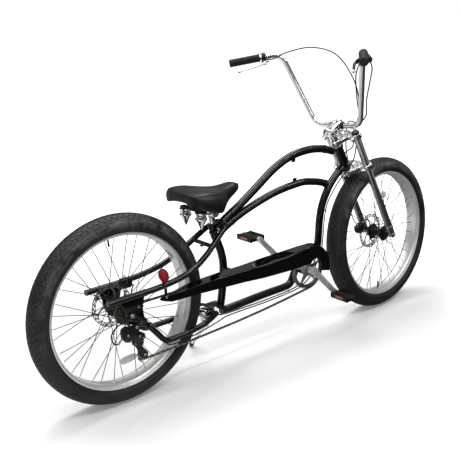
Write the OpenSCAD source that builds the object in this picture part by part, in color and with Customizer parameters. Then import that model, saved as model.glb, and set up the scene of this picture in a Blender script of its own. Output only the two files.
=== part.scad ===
// Chopper bicycle: one assembly in millimetres, X forward, Y left, Z up, parked on its side stand.
// Bike frame: wheels upright, ground at z = 0 and the rear contact point at the origin.
// The whole bike is leaned over and centred as the last step.

/* [Stance] */
// Distance between the two wheel axles
wheelbase = 1392; // [1300:1:1450]
// Lean to the left on the side stand, degrees
lean = 2.25; // [1:0.25:4]
// Steering turned to the left at rest, degrees
steer_rest = 4.66; // [0:0.01:10]
// Steering axis tilt from upright, degrees
head_tilt = 28; // [25:0.5:31]

/* [Wheels] */
// Tyre outer radius
tyre_r = 346.8; // [340:0.1:350]
// Tyre half width
tyre_hw = 46; // [40:0.5:48]
// Tyre wall thickness
tyre_wall = 4; // [3:0.5:6]
// Rim edge radius
rim_r = 285.5; // [284:0.5:287]
// Rim half width
rim_hw = 36; // [30:0.5:38]
// Rim bed radius facing the hub
rim_bed_r = 271; // [268:0.5:274]
// Spokes in each wheel
spoke_n = 36; // [28:4:40]
// Spoke radius
spoke_r = 1.2; // [1:0.1:1.5]
// Rear hub flange offset from the middle
rear_flange_y = 31; // [26:1:36]
// Front hub flange offset from the middle
front_flange_y = 31; // [26:1:36]
// Hub flange radius
flange_r = 31; // [26:1:36]
// Axle radius
axle_r = 5; // [4:0.5:6]
// Rear axle half length
rear_axle_hl = 92; // [86:1:98]
// Front axle half length
front_axle_hl = 92; // [86:1:98]
// Brake rotor radius
rotor_r = 80; // [70:1:90]

/* [Frame] */
// Main tube radius
tube_r = 16; // [14:0.5:18]
// Seat tube radius
seat_tube_r = 15.5; // [14:0.5:18]
// Stay radius
stay_r = 11; // [9:0.5:13]
// Half spacing of the rear stays beside the wheel
stay_y = 76; // [72:1:82]
// Head tube radius
head_r = 21; // [19:0.5:24]
// Head tube half length
head_hl = 60; // [50:1:66]
// Dropout plate thickness
dropout_t = 6; // [4:0.5:8]

/* [Steering] */
// Fork leg offset ahead of the steering axis
leg_u = 50; // [44:1:56]
// Fork leg half spacing
leg_y = 75; // [72:1:80]
// Fork leg radius
leg_r = 15.5; // [13:0.5:17]
// Handlebar tube radius
bar_r = 11.1; // [11:0.1:12.7]
// Half width between the grip ends
bar_hw = 345; // [300:1:380]
// Handlebar height at the bends
bar_top_z = 1176; // [1100:1:1230]
// Grip radius
grip_r = 16.5; // [14:0.5:18]
// Grip length
grip_len = 128; // [110:1:140]

/* [Drive] */
// Crank axis behind the front axle is set by its own place along x
crank_x = 868; // [850:1:880]
// Crank axis height
crank_z = 305; // [290:1:320]
// Crank arm length
crank_len = 167; // [160:1:175]
// Right arm angle below forward at rest, degrees
crank_rest = 45; // [0:1:90]
// Middle plane of the crank arms
arm_y = 103; // [98:1:110]
// Chainring tooth tip radius
ring_r = 79; // [76:0.5:84]
// Chain plane to the right of the middle
chain_y = 58; // [54:0.5:60]
// Chain pitch
chain_pitch = 12.7; // [12.7:0.1:12.7]
// Pedal half length along the spindle
pedal_hl = 48; // [40:1:52]

/* [Seat] */
// Saddle half width at the back
saddle_hw = 124; // [110:1:135]
// Saddle top height
saddle_z = 728; // [700:1:760]

/* [Stand] */
// Side stand foot place along x
foot_x = 435; // [420:1:450]
// Side stand foot distance to the left
foot_y = 190; // [170:1:210]
// Side stand leg radius
stand_r = 8; // [7:0.5:10]

/* [Part] */
// Part to show

/* [Hidden] */
$fn = 48;
black = [0.03, 0.03, 0.035];
chrome = [0.78, 0.79, 0.8];
alloy = [0.72, 0.72, 0.7];
rubber = [0.13, 0.13, 0.14];
dark = [0.2, 0.18, 0.16];
red = [0.75, 0.05, 0.04];
// Middle of the whole parked bike, taken off so that it stands over the origin
mid_x = wheelbase / 2;
mid_y = 40;
// Axle height that the frame's places are given for, and how far another wheel size lifts the frame
axle_z = 346.8;
lift = tyre_r - axle_z;
// A point half way up the head tube
head_x = wheelbase - 264;
head_z = 735;
// Front axle seen along and across the steering axis
axle_u = to_u(wheelbase, axle_z);
axle_w = to_w(wheelbase, axle_z);
leg_top_w = 96;
steerer_r = 12.7;
spindle_r = 12;
pedal_pin_r = 5;
crown_top_w = 80;
crown_low_w = -80;
crown_t = 18;
// Sprocket used by the chain at the back
cog_r = 23;
// Running clearance between a shaft and its bore
fit = 0.05;
// Contact gap kept between neighbours that are joined in real life
touch = 0.02;

function to_u(x, z) = (x - head_x) * cos(head_tilt) + (z - head_z) * sin(head_tilt);
function to_w(x, z) = -(x - head_x) * sin(head_tilt) + (z - head_z) * cos(head_tilt);
function loc(p) = [to_u(p[0], p[2]), p[1], to_w(p[0], p[2])];
function unit(v) = v / norm(v);
function flip(pts, s) = [for (p = pts) [p[0], p[1] * s, p[2]]];
// Catmull-Rom point between p1 and p2
function cr(p0, p1, p2, p3, t) = 0.5 * ((2 * p1) + (p2 - p0) * t + (2 * p0 - 5 * p1 + 4 * p2 - p3) * t * t
    + (3 * p1 - p0 - 3 * p2 + p3) * t * t * t);
function smooth(p, k) = let (n = len(p)) concat([for (i = [0 : n - 2]) for (j = [0 : k - 1])
    cr(p[max(i - 1, 0)], p[i], p[i + 1], p[min(i + 2, n - 1)], j / k)], [p[n - 1]]);
// Frames carried along the path so that rings don't twist
function tang(p, i) = unit(p[min(i + 1, len(p) - 1)] - p[max(i - 1, 0)]);
function side0(t) = unit(cross(t, abs(t[1]) < 0.8 ? [0, 1, 0] : [0, 0, 1]));
function sides(p, i, s) = i == 0 ? [side0(tang(p, 0))] : let (prev = sides(p, i - 1, s), t = tang(p, i),
    a = prev[i - 1], b = unit(a - t * (a * t))) concat(prev, [b]);

// Tube of radius r swept along points p with m sides
module sweep(p, r, m = 14) {
    n = len(p);
    sd = sides(p, n - 1, 0);
    pts = [for (i = [0 : n - 1]) let (t = tang(p, i), a = sd[i], b = cross(t, a))
        for (j = [0 : m - 1]) p[i] + r * (cos(360 * j / m) * a + sin(360 * j / m) * b)];
    body = [for (i = [0 : n - 2]) for (j = [0 : m - 1]) let (k = (j + 1) % m)
        each [[i * m + j, i * m + k, (i + 1) * m + k], [i * m + j, (i + 1) * m + k, (i + 1) * m + j]]];
    caps = [[for (j = [0 : m - 1]) m - 1 - j], [for (j = [0 : m - 1]) (n - 1) * m + j]];
    polyhedron(points = pts, faces = concat([for (f = body) [f[2], f[1], f[0]]],
        [for (f = caps) [for (q = [len(f) - 1 : -1 : 0]) f[q]]]), convexity = 6);
}

// Rod from a to b
module rod(a, b, r, r2 = -1) {
    v = b - a;
    l = norm(v);
    translate(a) rotate([0, acos(v[2] / l), atan2(v[1], v[0])])
        cylinder(h = l, r1 = r, r2 = r2 < 0 ? r : r2);
}

// Cylinder along Y from y0 to y1
module ycyl(r, y0, y1) {
    translate([0, y1, 0]) rotate([90, 0, 0]) cylinder(h = y1 - y0, r = r);
}

// Turned profile about the Y axis, points are [radius, y]
module yturn(pts) {
    rotate([-90, 0, 0]) rotate_extrude($fn = 72) polygon(pts);
}

// Whole bike leaned on its stand and centred
module placed() {
    translate([-mid_x, -mid_y, 0]) rotate([-lean, 0, 0]) translate([0, 0, lift]) children();
}

// Steering frame: x ahead of the steering axis, z along it, turned to the rest angle
module steered() {
    placed() translate([head_x, 0, head_z]) rotate([0, -head_tilt, 0]) rotate([0, 0, steer_rest]) children();
}

module at_rear() {
    placed() translate([0, 0, axle_z]) children();
}

module at_front() {
    steered() translate([axle_u, 0, axle_w]) children();
}

module at_crank() {
    placed() translate([crank_x, 0, crank_z]) children();
}

// Frame tubes

UPPER = [[444, 0, 556], [492, 0, 589], [560, 0, 627], [649, 0, 684], [741, 0, 743], [835, 0, 780],
    [933, 0, 792], [1013, 0, 785], [1072, 0, 768]];
LOWER = [[458, 0, 538], [503, 0, 562], [555, 0, 581], [621, 0, 601], [694, 0, 635], [757, 0, 646],
    [827, 0, 657], [900, 0, 662], [954, 0, 655], [999, 0, 646], [1036, 0, 633]];
DOWN = [[1137, 0, 688], [1099, 0, 664], [1057, 0, 622], [1026, 0, 574], [1006, 0, 525], [996, 0, 470],
    [992, 0, 417], [985, 0, 371], [960, 0, 332], [915, 0, 309], [890, 0, 305]];
SEAT = [[423, 0, 574], [428, 0, 537], [445, 0, 498], [459, 0, 459], [468, 0, 415], [468, 0, 374],
    [463, 0, 322], [455, 0, 271], [447, 0, 231]];
BOOM = [[452, 0, 216], [545, 0, 220], [681, 0, 227], [790, 0, 230], [822, 0, 238], [840, 0, 262], [852, 0, 290]];
STAY_UP = [[-88, 75, 410], [-18, 76, 412], [59, 76, 415], [140, 77, 421], [223, 78, 435], [281, 76, 456],
    [341, 68, 490], [384, 58, 520], [421, 49, 546], [446, 40, 562], [462, 24, 573], [468, 10, 575]];
STAY_LOW = [[64, 75, 294], [99, 75, 254], [126, 75, 222], [152, 74, 209], [199, 73, 209], [248, 70, 211],
    [320, 60, 217], [372, 42, 222], [410, 24, 226]];

module head_form(g) {
    translate([0, 0, -head_hl]) cylinder(h = 2 * head_hl, r = head_r + g);
    for (w = [-head_hl, head_hl - 12]) translate([0, 0, w]) cylinder(h = 12, r = head_r + 4 + g);
}

module head_tube() {
    color(black) steered_fixed() difference() {
        head_form(0);
        translate([0, 0, -head_hl - 1]) cylinder(h = 2 * head_hl + 2, r = steerer_r + fit);
    }
}

// Steering frame without the turn, for what stays with the frame
module steered_fixed() {
    placed() translate([head_x, 0, head_z]) rotate([0, -head_tilt, 0]) children();
}

module head_clear() {
    translate([head_x, 0, head_z]) rotate([0, -head_tilt, 0]) head_form(touch);
}

module upper_tube() {
    color(black) placed() difference() {
        sweep(smooth(UPPER, 3), tube_r);
        head_clear();
    }
}

module lower_tube() {
    color(black) placed() difference() {
        sweep(smooth(LOWER, 2), tube_r - 1);
        sweep(smooth(DOWN, 3), tube_r + touch);
        sweep(smooth(UPPER, 3), tube_r + touch);
    }
}

module down_tube() {
    color(black) placed() difference() {
        sweep(smooth(DOWN, 3), tube_r);
        head_clear();
        translate([crank_x, 0, crank_z]) ycyl(25 + touch, -60, 60);
    }
}

module seat_tube() {
    color(black) placed() difference() {
        sweep(smooth(SEAT, 2), seat_tube_r);
        sweep(smooth(UPPER, 3), tube_r + touch);
        sweep(smooth(LOWER, 2), tube_r - 1 + touch);
    }
}

module boom_tube() {
    color(black) placed() difference() {
        sweep(smooth(BOOM, 3), tube_r - 0.5);
        sweep(smooth(SEAT, 2), seat_tube_r + touch);
        translate([crank_x, 0, crank_z]) ycyl(25 + touch, -60, 60);
        sweep(smooth(DOWN, 3), tube_r + touch);
    }
}

module bb_shell() {
    color(black) at_crank() difference() {
        ycyl(25, -42, 42);
        ycyl(spindle_r + fit, -43, 43);
    }
}

module seat_stay(s) {
    color(black) placed() difference() {
        sweep(smooth(flip(STAY_UP, s), 2), stay_r, 12);
        sweep(smooth(UPPER, 3), tube_r + touch);
        sweep(smooth(SEAT, 2), seat_tube_r + touch);
    }
}

module seat_stay_left() {
    seat_stay(1);
}

module seat_stay_right() {
    seat_stay(-1);
}

module stay_bridge() {
    color(black) placed() difference() {
        rod([372, -70, 512], [372, 70, 512], 8);
        for (s = [-1, 1]) sweep(smooth(flip(STAY_UP, s), 2), stay_r + touch, 12);
        for (s = [-1, 1]) translate([330, s * 90 - 28, 470]) cube([90, 56, 90]);
    }
}

module chain_stay(s) {
    color(black) placed() difference() {
        sweep(smooth(flip(STAY_LOW, s), 2), stay_r, 12);
        sweep(smooth(SEAT, 2), seat_tube_r + touch);
        sweep(smooth(BOOM, 3), tube_r - 0.5 + touch);
    }
}

module chain_stay_left() {
    chain_stay(1);
}

module chain_stay_right() {
    chain_stay(-1);
}

// Plate between the upper and lower stay with the axle slot
module dropout(s) {
    color(black) placed() difference() {
        translate([0, s * 75 + dropout_t / 2, 0]) rotate([90, 0, 0]) linear_extrude(height = dropout_t)
            polygon([[-40, 404], [57, 404], [50, 380], [47, 361], [52, 330], [66, 306], [56, 288], [30, 300],
                [10, 309], [-14, 318], [-22, 340], [-26, 370]]);
        translate([0, 0, axle_z]) ycyl(axle_r + touch, -100, 100);
        sweep(smooth(flip(STAY_UP, s), 2), stay_r + touch, 12);
        sweep(smooth(flip(STAY_LOW, s), 2), stay_r + touch, 12);
    }
}

module dropout_left() {
    dropout(1);
}

module dropout_right() {
    dropout(-1);
}

module rear_axle() {
    color(chrome) at_rear() {
        ycyl(axle_r, -rear_axle_hl, rear_axle_hl);
        for (s = [-1, 1]) translate([0, s * 82.5, 0]) ycyl(9, -4.4, 4.4);
    }
}

// Arch over the lower stays, ahead of the wheel
ARCH = [[372, 43, 232], [374, 40, 246], [378, 28, 255], [380, 10, 258], [380, -10, 258], [378, -28, 255], [374, -40, 246],
    [372, -43, 232]];
module stay_arch() {
    color(black) placed() difference() {
        union() {
            sweep(smooth(ARCH, 2), 6, 12);
            translate([378, -24, 252]) cube([64, 48, 5]);
        }
        for (s = [-1, 1]) sweep(smooth(flip(STAY_LOW, s), 2), stay_r + touch, 12);
        sweep(smooth(SEAT, 2), seat_tube_r + touch);
    }
}

// Plate between the lower stays with the sleeve of the side stand's pivot
module stand_bracket() {
    color(chrome) placed() difference() {
        union() {
            translate([0, 0, 216]) linear_extrude(height = 7)
                polygon([[350, -49], [358, -46], [408, -25], [408, 42], [350, 49]]);
            rod(PIV - 14 * stand_ax, PIV + 14 * stand_ax, 12);
            translate([386, 6, 186]) cube([20, 36, 34]);
            translate([360, -20, 220]) cube([46, 40, 28]);
        }
        for (s = [-1, 1]) sweep(smooth(flip(STAY_LOW, s), 2), stay_r + touch, 12);
        rod(PIV - 30 * stand_ax, PIV + 30 * stand_ax, 6 + fit);
    }
}

GUARD_OUT = [[114, 381], [120, 388], [155, 391], [295, 393], [507, 399], [605, 407], [849, 421]];
module chain_guard() {
    color(black) placed() difference() {
        union() {
            translate([0, -83, 0]) rotate([90, 0, 0]) linear_extrude(height = 2.5) guard_face();
            translate([0, -50, 0]) rotate([90, 0, 0]) linear_extrude(height = 34) difference() {
                guard_face();
                offset(delta = -2.5) guard_face();
                translate([100, 150]) square([crank_x - 100, 247]);
                translate([crank_x, 200]) square([95, 100]);
                translate([crank_x, crank_z]) circle(r = 94, $fn = 48);
            }
            translate([138, -84, 372]) cube([10, 4, 54]);
            translate([962, -84, 352]) cube([20, 69, 5]);
            translate([452, -60, 393]) cube([20, 45, 5]);
        }
        sweep(smooth(DOWN, 3), tube_r + touch);
        sweep(smooth(SEAT, 2), seat_tube_r + touch);
        sweep(smooth(flip(STAY_UP, -1), 2), stay_r + touch, 12);
    }
}

module guard_face() {
    difference() {
        union() {
            polygon(concat(GUARD_OUT, [[crank_x, 421], [crank_x, 338], [671, 335], [604, 338], [506, 345], [374, 353],
                [200, 354], [166, 356], [140, 364]]));
            translate([crank_x, crank_z]) circle(r = 115, $fn = 60);
        }
        translate([crank_x - 140, 160]) square([280, 122]);
        translate([crank_x, crank_z]) circle(r = 58, $fn = 48);
        translate([crank_x - 140, 200]) square([112, 137]);
    }
}

module rear_reflector() {
    color(red) placed() {
        translate([136, -78, 459]) rotate([0, -90, 0]) cylinder(h = 7, r = 22);
        difference() {
            translate([134, -81, 432]) cube([5, 6, 30]);
            sweep(smooth(flip(STAY_UP, -1), 2), stay_r + touch, 12);
        }
    }
}

module saddle() {
    color(rubber) placed() difference() {
        saddle_form();
        translate([296, -84, saddle_z - 172]) cube([150, 168, 100]);
        saddle_rails(touch);
    }
}

// Saddle sections along x: [x, half width, top below saddle_z, bottom below saddle_z]
SADDLE = [[277, 72, 12, 56], [284, 98, 6, 64], [298, 114, 2, 70], [322, 123, 0, 75], [350, 124, 1, 81],
    [380, 117, 5, 85], [405, 101, 9, 86], [430, 78, 12, 80], [455, 58, 13, 68], [480, 45, 11, 56],
    [505, 36, 7, 46], [525, 29, 6, 37], [539, 20, 10, 31], [546, 9, 15, 25]];
// One half of a section as shares of half width and height, from the middle of the top to the bottom edge
SECTION = [[0, 1], [0.4, 0.985], [0.7, 0.94], [0.88, 0.84], [0.97, 0.66], [1, 0.38], [0.97, 0.07], [0.9, 0]];
module saddle_form() {
    n = len(SADDLE);
    ring = concat(SECTION, [for (j = [len(SECTION) - 1 : -1 : 1]) [-SECTION[j][0], SECTION[j][1]]]);
    m = len(ring);
    pts = [for (q = SADDLE) for (r = ring) [q[0], q[1] * r[0] * saddle_hw / 124, saddle_z - q[3] + (q[3] - q[2]) * r[1]]];
    body = [for (i = [0 : n - 2]) for (j = [0 : m - 1]) let (k = (j + 1) % m)
        each [[i * m + j, i * m + k, (i + 1) * m + k], [i * m + j, (i + 1) * m + k, (i + 1) * m + j]]];
    caps = [[for (j = [0 : m - 1]) m - 1 - j], [for (j = [0 : m - 1]) (n - 1) * m + j]];
    polyhedron(points = pts, faces = concat(body, caps), convexity = 6);
}

// Two rails under the saddle, made thicker by g where they are cut out of a neighbour
module saddle_rails(g) {
    for (s = [-1, 1]) sweep(smooth([[335, s * 22, saddle_z - 79], [370, s * 22, saddle_z - 98],
        [400, s * 22, saddle_z - 104], [440, s * 21, saddle_z - 100], [482, s * 16, saddle_z - 50]], 3), 4 + g, 8);
}

module saddle_frame() {
    color(chrome) placed() {
        translate([322, -66, saddle_z - 83]) cube([26, 132, 8]);
        translate([326, -60, saddle_z - 78]) cube([18, 120, 6 - touch]);
        for (s = [-1, 1]) {
            translate([335, s * 48, saddle_z - 148]) rotate_extrude($fn = 40) polygon([[0, 0], [3, 1], [13, 32], [17, 40],
                [17, 45], [12, 46], [12, 49], [15, 50], [15, 54], [12, 55], [12, 58], [18, 60], [18, 66], [0, 66]]);
        }
        saddle_rails(0);
    }
}

module seat_post() {
    color(chrome) placed() difference() {
        union() {
            rod([423, 0, 566], [418, 0, saddle_z - 108], 13);
            translate([402, -31, saddle_z - 116]) cube([30, 62, 22]);
        }
        sweep(smooth(SEAT, 2), seat_tube_r + touch);
        saddle_rails(touch);
    }
}

GUIDE = [22, 238];
TENSION = [50, 182];
module derailleur() {
    color(black) placed() {
        translate([10, 0, 306]) ycyl(11, -92, -78.1);
        hull() {
            translate([-34, 0, 290]) ycyl(17, -93, -79, $fn = 20);
            translate([20, 0, 264]) ycyl(19, -93, -79, $fn = 20);
        }
        translate([-2, -91, 284]) cube([24, 12, 24]);
        translate([GUIDE[0], 0, GUIDE[1] + 6]) ycyl(14, -92, -66);
        for (y = [[-69, -66], [-52.5, -50]]) hull() {
            translate([GUIDE[0], 0, GUIDE[1]]) ycyl(13, y[0], y[1], $fn = 20);
            translate([TENSION[0], 0, TENSION[1]]) ycyl(15, y[0], y[1], $fn = 20);
        }
        for (q = [GUIDE, TENSION]) translate([q[0], 0, q[1]]) {
            ycyl(15.4, -61, -55);
            ycyl(5, -70, -50);
        }
    }
}

// Chain route in its own plane, [x, z], once round from the chainring's top to the back
function arc(c, r, a, b, k) = [for (i = [0 : k]) let (t = a + (b - a) * i / k) [c[0] + r * cos(t), c[1] + r * sin(t)]];
LOW_RUN = [[160, 164], [277, 169], [476, 180], [627, 192], [729, 203]];
CHAIN = concat(arc([0, axle_z], 27, 91, 217, 8), arc(GUIDE, 21, 37, -16, 4), arc(TENSION, 21, 164, 271, 6), LOW_RUN,
    arc([crank_x, crank_z], 85, -83, 91, 14));
function seg_len(p, i) = norm(p[(i + 1) % len(p)] - p[i]);
function run_to(p, i) = i == 0 ? [0] : let (a = run_to(p, i - 1)) concat(a, [a[i - 1] + seg_len(p, i - 1)]);
function at_run(p, a, d) = let (i = max([for (k = [0 : len(p) - 1]) if (a[k] <= d) k]),
    t = (d - a[i]) / seg_len(p, i)) p[i] + (p[(i + 1) % len(p)] - p[i]) * t;

module chain() {
    a = run_to(CHAIN, len(CHAIN));
    total = a[len(CHAIN)];
    n = 2 * round(total / chain_pitch / 2);
    pt = [for (i = [0 : n - 1]) at_run(CHAIN, a, total * i / n)];
    nrm = [for (i = [0 : n - 1]) let (d = unit(pt[(i + 1) % n] - pt[(i + n - 1) % n])) [d[1], -d[0]]];
    outer = [for (i = [0 : n - 1]) let (h = i % 2 == 0 ? 4.4 : 3.2) each [pt[i] + nrm[i] * h,
        (pt[i] + pt[(i + 1) % n]) / 2 + nrm[i] * h]];
    inner = [for (i = [0 : n - 1]) let (h = i % 2 == 0 ? 4.4 : 3.2) each [pt[i] - nrm[i] * h,
        (pt[i] + pt[(i + 1) % n]) / 2 - nrm[i] * h]];
    color(dark) placed() translate([0, -chain_y + 3.5, 0]) rotate([90, 0, 0]) linear_extrude(height = 7)
        difference() {
            polygon(outer);
            polygon(inner);
        }
}

module rear_caliper() {
    color(black) placed() difference() {
        union() {
            translate([42, 44, 398]) cube([44, 26, 34]);
            translate([30, 62, 392]) cube([22, 10, 30]);
        }
        translate([0, 0, axle_z]) ycyl(rotor_r + 4, 53.5, 58.5);
        sweep(smooth(STAY_UP, 2), stay_r + touch, 12);
        translate([-40, 71.9, 380]) cube([120, 20, 60]);
    }
}

// Cable routes from the handlebar, round the steering, under the frame to the back
function unturn(p) = [head_x + p[0] * cos(head_tilt) - p[2] * sin(head_tilt), p[1],
    head_z + p[0] * sin(head_tilt) + p[2] * cos(head_tilt)];
function spin(q) = unturn([q[0] * cos(steer_rest) - q[1] * sin(steer_rest),
    q[0] * sin(steer_rest) + q[1] * cos(steer_rest), q[2]]);
function turned(p) = spin(loc(p));
GEAR_BAR = [[1022, -240, 1112], [1046, -212, 1060], [1072, -176, 985], [1108, -146, 920], [1128, -100, 884],
    [1150, -62, 860], [1170, -50, 826]];
GEAR_FRAME = [[1173, -42, 782], [1164, -40, 731], [1144, -34, 696], [1128, -25, 672], [1092, -12, 626], [1046, -9, 566], [1026, -9, 520],
    [1016, -9, 468], [1012, -9, 417], [1003, -9, 360], [975, -10, 300], [935, -12, 250], [885, -12, 218],
    [822, -10, 204], [677, -10, 196], [574, -10, 195], [470, -12, 193], [410, -34, 194], [340, -58, 196],
    [250, -75, 193], [164, -82, 192], [124, -90, 212], [90, -91, 250], [40, -90, 308], [8, -90, 326], [-26, -88, 336],
    [-66, -87, 326], [-88, -86, 300], [-82, -86, 270], [-66, -86, 262], [-53, -86, 272]];
BRAKE_BAR = [[957, -243, 1126], [996, -200, 1128], [1028, -158, 1084], [1066, -132, 1000], [1104, -112, 932],
    [1130, -84, 890], [1152, -50, 862], [1176, -34, 826]];
BRAKE_FRAME = [[1175, -20, 776], [1174, 14, 750], [1161, 38, 719], [1140, 34, 691], [1128, 25, 672], [1093, 12, 626], [1048, 7, 568], [1028, 7, 521],
    [1017, 7, 468], [1013, 7, 417], [1004, 7, 360], [977, 8, 298], [937, 10, 247], [885, 10, 215],
    [822, 8, 203], [677, 8, 196], [574, 8, 195], [470, 14, 193], [440, 34, 197], [410, 58, 208], [372, 68, 214],
    [330, 74, 218], [248, 84, 212], [200, 87, 209], [152, 91, 208], [120, 94, 240], [106, 94, 306], [106, 88, 366],
    [102, 72, 386], [95, 60, 397], [84, 57, 402]];
module gear_cable() {
    start = spin(grip_a(-1) + 162 * grip_d(-1) + [22, 0, -36]);
    color(black) difference() {
        placed() sweep(smooth(concat([start], [for (p = GEAR_BAR) turned(p)], GEAR_FRAME), 2), 2.5, 8);
        steered() shift_pod(touch);
    }
}

module rear_brake_cable() {
    start = spin(grip_a(-1) + 140 * grip_d(-1) - [0, 0, 17]);
    color(black) difference() {
        placed() sweep(smooth(concat([start], [for (p = BRAKE_BAR) turned(p)], BRAKE_FRAME), 2), 2.5, 8);
        steered() lever_clamp(-1, touch);
        placed() translate([42 - touch, 44 - touch, 398 - touch]) cube([44 + 2 * touch, 26 + 2 * touch, 34]);
    }
}

// Wheel pieces about their own axle, which lies along Y

// Tyre wall seen in section: outer line, then inner line, as [radius, y] of one half
TYRE_OUT = [[278.2, 32.2], [285.9, 33.4], [286.6, 37.5], [294, 43.4], [304, 46], [314, 45.5], [324, 41.5],
    [333, 34.5], [340, 26], [344.6, 16], [346.6, 6]];
TYRE_IN = [[278.2, 28], [286, 29.2], [295, 38.4], [304, 41.6], [314, 41.2], [322, 37.8], [330, 31.4],
    [336, 23.6], [340.4, 14.6], [342.4, 5]];
function ty(p, s) = [rim_r - 7.3 + (p[0] - 278.2) * (tyre_r - rim_r + 7.3) / 68.6, s * p[1] * tyre_hw / 46];
function tyre_pts() = concat([for (p = TYRE_OUT) ty(p, 1)], [for (j = [len(TYRE_OUT) - 1 : -1 : 0]) ty(TYRE_OUT[j], -1)],
    [for (p = TYRE_IN) ty(p, -1)], [for (j = [len(TYRE_IN) - 1 : -1 : 0]) ty(TYRE_IN[j], 1)]);

module tyre() {
    color(rubber) yturn(tyre_pts());
}

module rim() {
    prof = [[rim_bed_r + 3, 0], [rim_bed_r + 3, 20], [rim_bed_r + 6.5, 31], [rim_bed_r + 6.5, 32.6],
        [rim_r, rim_hw - 2], [rim_r, rim_hw], [rim_r - 6, rim_hw], [rim_bed_r + 3, 31], [rim_bed_r, 20]];
    color(alloy) yturn(concat([for (p = prof) p], [for (j = [len(prof) - 1 : -1 : 1]) [prof[j][0], -prof[j][1]]]));
}

// Spokes of one wheel: each leans along the rim from its place on the flange
module spokes(fy) {
    color(chrome) {
        for (s = [-1, 1]) {
            translate([0, s * fy, 0]) difference() {
                ycyl(flange_r + 2, -1.5, 1.5);
                ycyl(flange_r - 8, -2, 2);
            }
            for (i = [0 : spoke_n / 2 - 1]) {
                a = 720 / spoke_n * i + (s > 0 ? 360 / spoke_n : 0);
                d = (i % 2 == 0 ? 1 : -1) * 62;
                rod([flange_r * cos(a + d), s * fy, flange_r * sin(a + d)],
                    [(rim_bed_r - 0.2) * cos(a), s * 6, (rim_bed_r - 0.2) * sin(a)], spoke_r);
            }
        }
    }
}

module hub(fy, hl) {
    color(black) difference() {
        union() {
            ycyl(flange_r - 8.1, -fy - 1.5, fy + 1.5);
            ycyl(16, -hl, hl);
        }
        ycyl(axle_r + fit, -hl - 1, hl + 1);
    }
}

module rotor() {
    color(chrome) difference() {
        union() {
            difference() {
                ycyl(rotor_r, -1, 1);
                ycyl(rotor_r - 16, -2, 2);
            }
            for (i = [0 : 5]) rotate([0, 60 * i, 0]) translate([16, -1, -4]) cube([rotor_r - 30, 2, 8]);
            ycyl(24, -1, 1);
        }
        ycyl(16.05, -2, 2);
    }
}

module rear_tyre() {
    at_rear() tyre();
}

module rear_rim() {
    at_rear() rim();
}

module rear_spokes() {
    at_rear() spokes(rear_flange_y);
}

module rear_hub() {
    at_rear() hub(rear_flange_y, 64);
}

module freewheel() {
    color(dark) at_rear() for (i = [0 : 5]) translate([0, -56.5 + i * 4, 0]) difference() {
        union() {
            ycyl([21, 27, 32, 37, 42, 47][i], -1, 1);
            ycyl(20, -1, 3);
        }
        ycyl(16.05, -3, 5);
    }
}

module rear_rotor() {
    at_rear() translate([0, 56, 0]) rotor();
}

module front_tyre() {
    at_front() tyre();
}

module front_rim() {
    at_front() rim();
}

module front_spokes() {
    at_front() spokes(front_flange_y);
}

module front_hub() {
    at_front() hub(front_flange_y, 56);
}

module front_rotor() {
    at_front() translate([0, 48, 0]) rotor();
}

// Steering pieces

module crown(w) {
    difference() {
        union() {
            hull() {
                translate([0, 0, w - crown_t / 2]) cylinder(h = crown_t, r = 24, $fn = 32);
                translate([leg_u, 0, w - crown_t / 2]) cylinder(h = crown_t, r = 20, $fn = 32);
            }
            translate([leg_u - 14, -leg_y, w - crown_t / 2]) cube([28, 2 * leg_y, crown_t]);
            for (s = [-1, 1]) translate([leg_u, s * leg_y, w - crown_t / 2 - 3]) cylinder(h = crown_t + 6, r = leg_r + 6);
        }
        for (s = [-1, 1]) translate([leg_u, s * leg_y, w - 40]) cylinder(h = 80, r = leg_r + touch);
    }
}

module upper_crown() {
    color(chrome) steered() difference() {
        crown(crown_top_w);
        translate([0, 0, 0]) cylinder(h = 120, r = 12.7 + touch);
    }
}

module lower_crown() {
    color(chrome) steered() {
        crown(crown_low_w);
        translate([0, 0, crown_low_w]) cylinder(h = leg_top_w - crown_low_w, r = 12.7);
    }
}

module fork_leg(s) {
    color(chrome) steered() difference() {
        union() {
            translate([leg_u, s * leg_y, axle_w + 14]) cylinder(h = leg_top_w - axle_w - 14, r = leg_r);
            translate([leg_u - 6, s * leg_y - 4, axle_w - 14]) cube([14, 8, 40]);
        }
        translate([axle_u, 0, axle_w]) ycyl(axle_r + touch, -100, 100);
    }
}

module fork_leg_left() {
    fork_leg(1);
}

module fork_leg_right() {
    fork_leg(-1);
}

module front_axle() {
    color(chrome) at_front() {
        ycyl(axle_r, -front_axle_hl, front_axle_hl);
        for (s = [-1, 1]) translate([0, s * 84, 0]) ycyl(9, -4.4, 4.4);
    }
}

BAR_MID = [1106, 0, 873];
BAR_LOW = [1106, 118, 873];
BAR_TOP = [1001, 214, bar_top_z];
BAR_END = [833, bar_hw, bar_top_z - 29];
// Corner replaced by points of a round bend
function bend(a, b, c, r, k) = let (u = unit(a - b), v = unit(c - b), h = acos(u * v) / 2, t = r / tan(h),
    m = b + unit(u + v) * (r / sin(h)), p0 = b + u * t, p1 = b + v * t)
    [for (i = [0 : k]) let (f = i / k, q = unit((p0 - m) * sin((1 - f) * (180 - 2 * h))
    + (p1 - m) * sin(f * (180 - 2 * h)))) m + r * q];

B1 = bend(BAR_MID, BAR_LOW, BAR_TOP, 55, 6);
B2 = bend(BAR_LOW, BAR_TOP, BAR_END, 60, 7);
function bl(p, s) = loc([p[0], s * p[1], p[2]]);
// Bent length between two straight lengths, run 3 mm into each
module bent(b, s, g = -0.02) {
    n = len(b);
    pts = concat([b[0] - 3 * unit(b[1] - b[0])], b, [b[n - 1] + 3 * unit(b[n - 1] - b[n - 2])]);
    sweep([for (p = pts) bl(p, s)], bar_r + g, 16);
}

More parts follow.
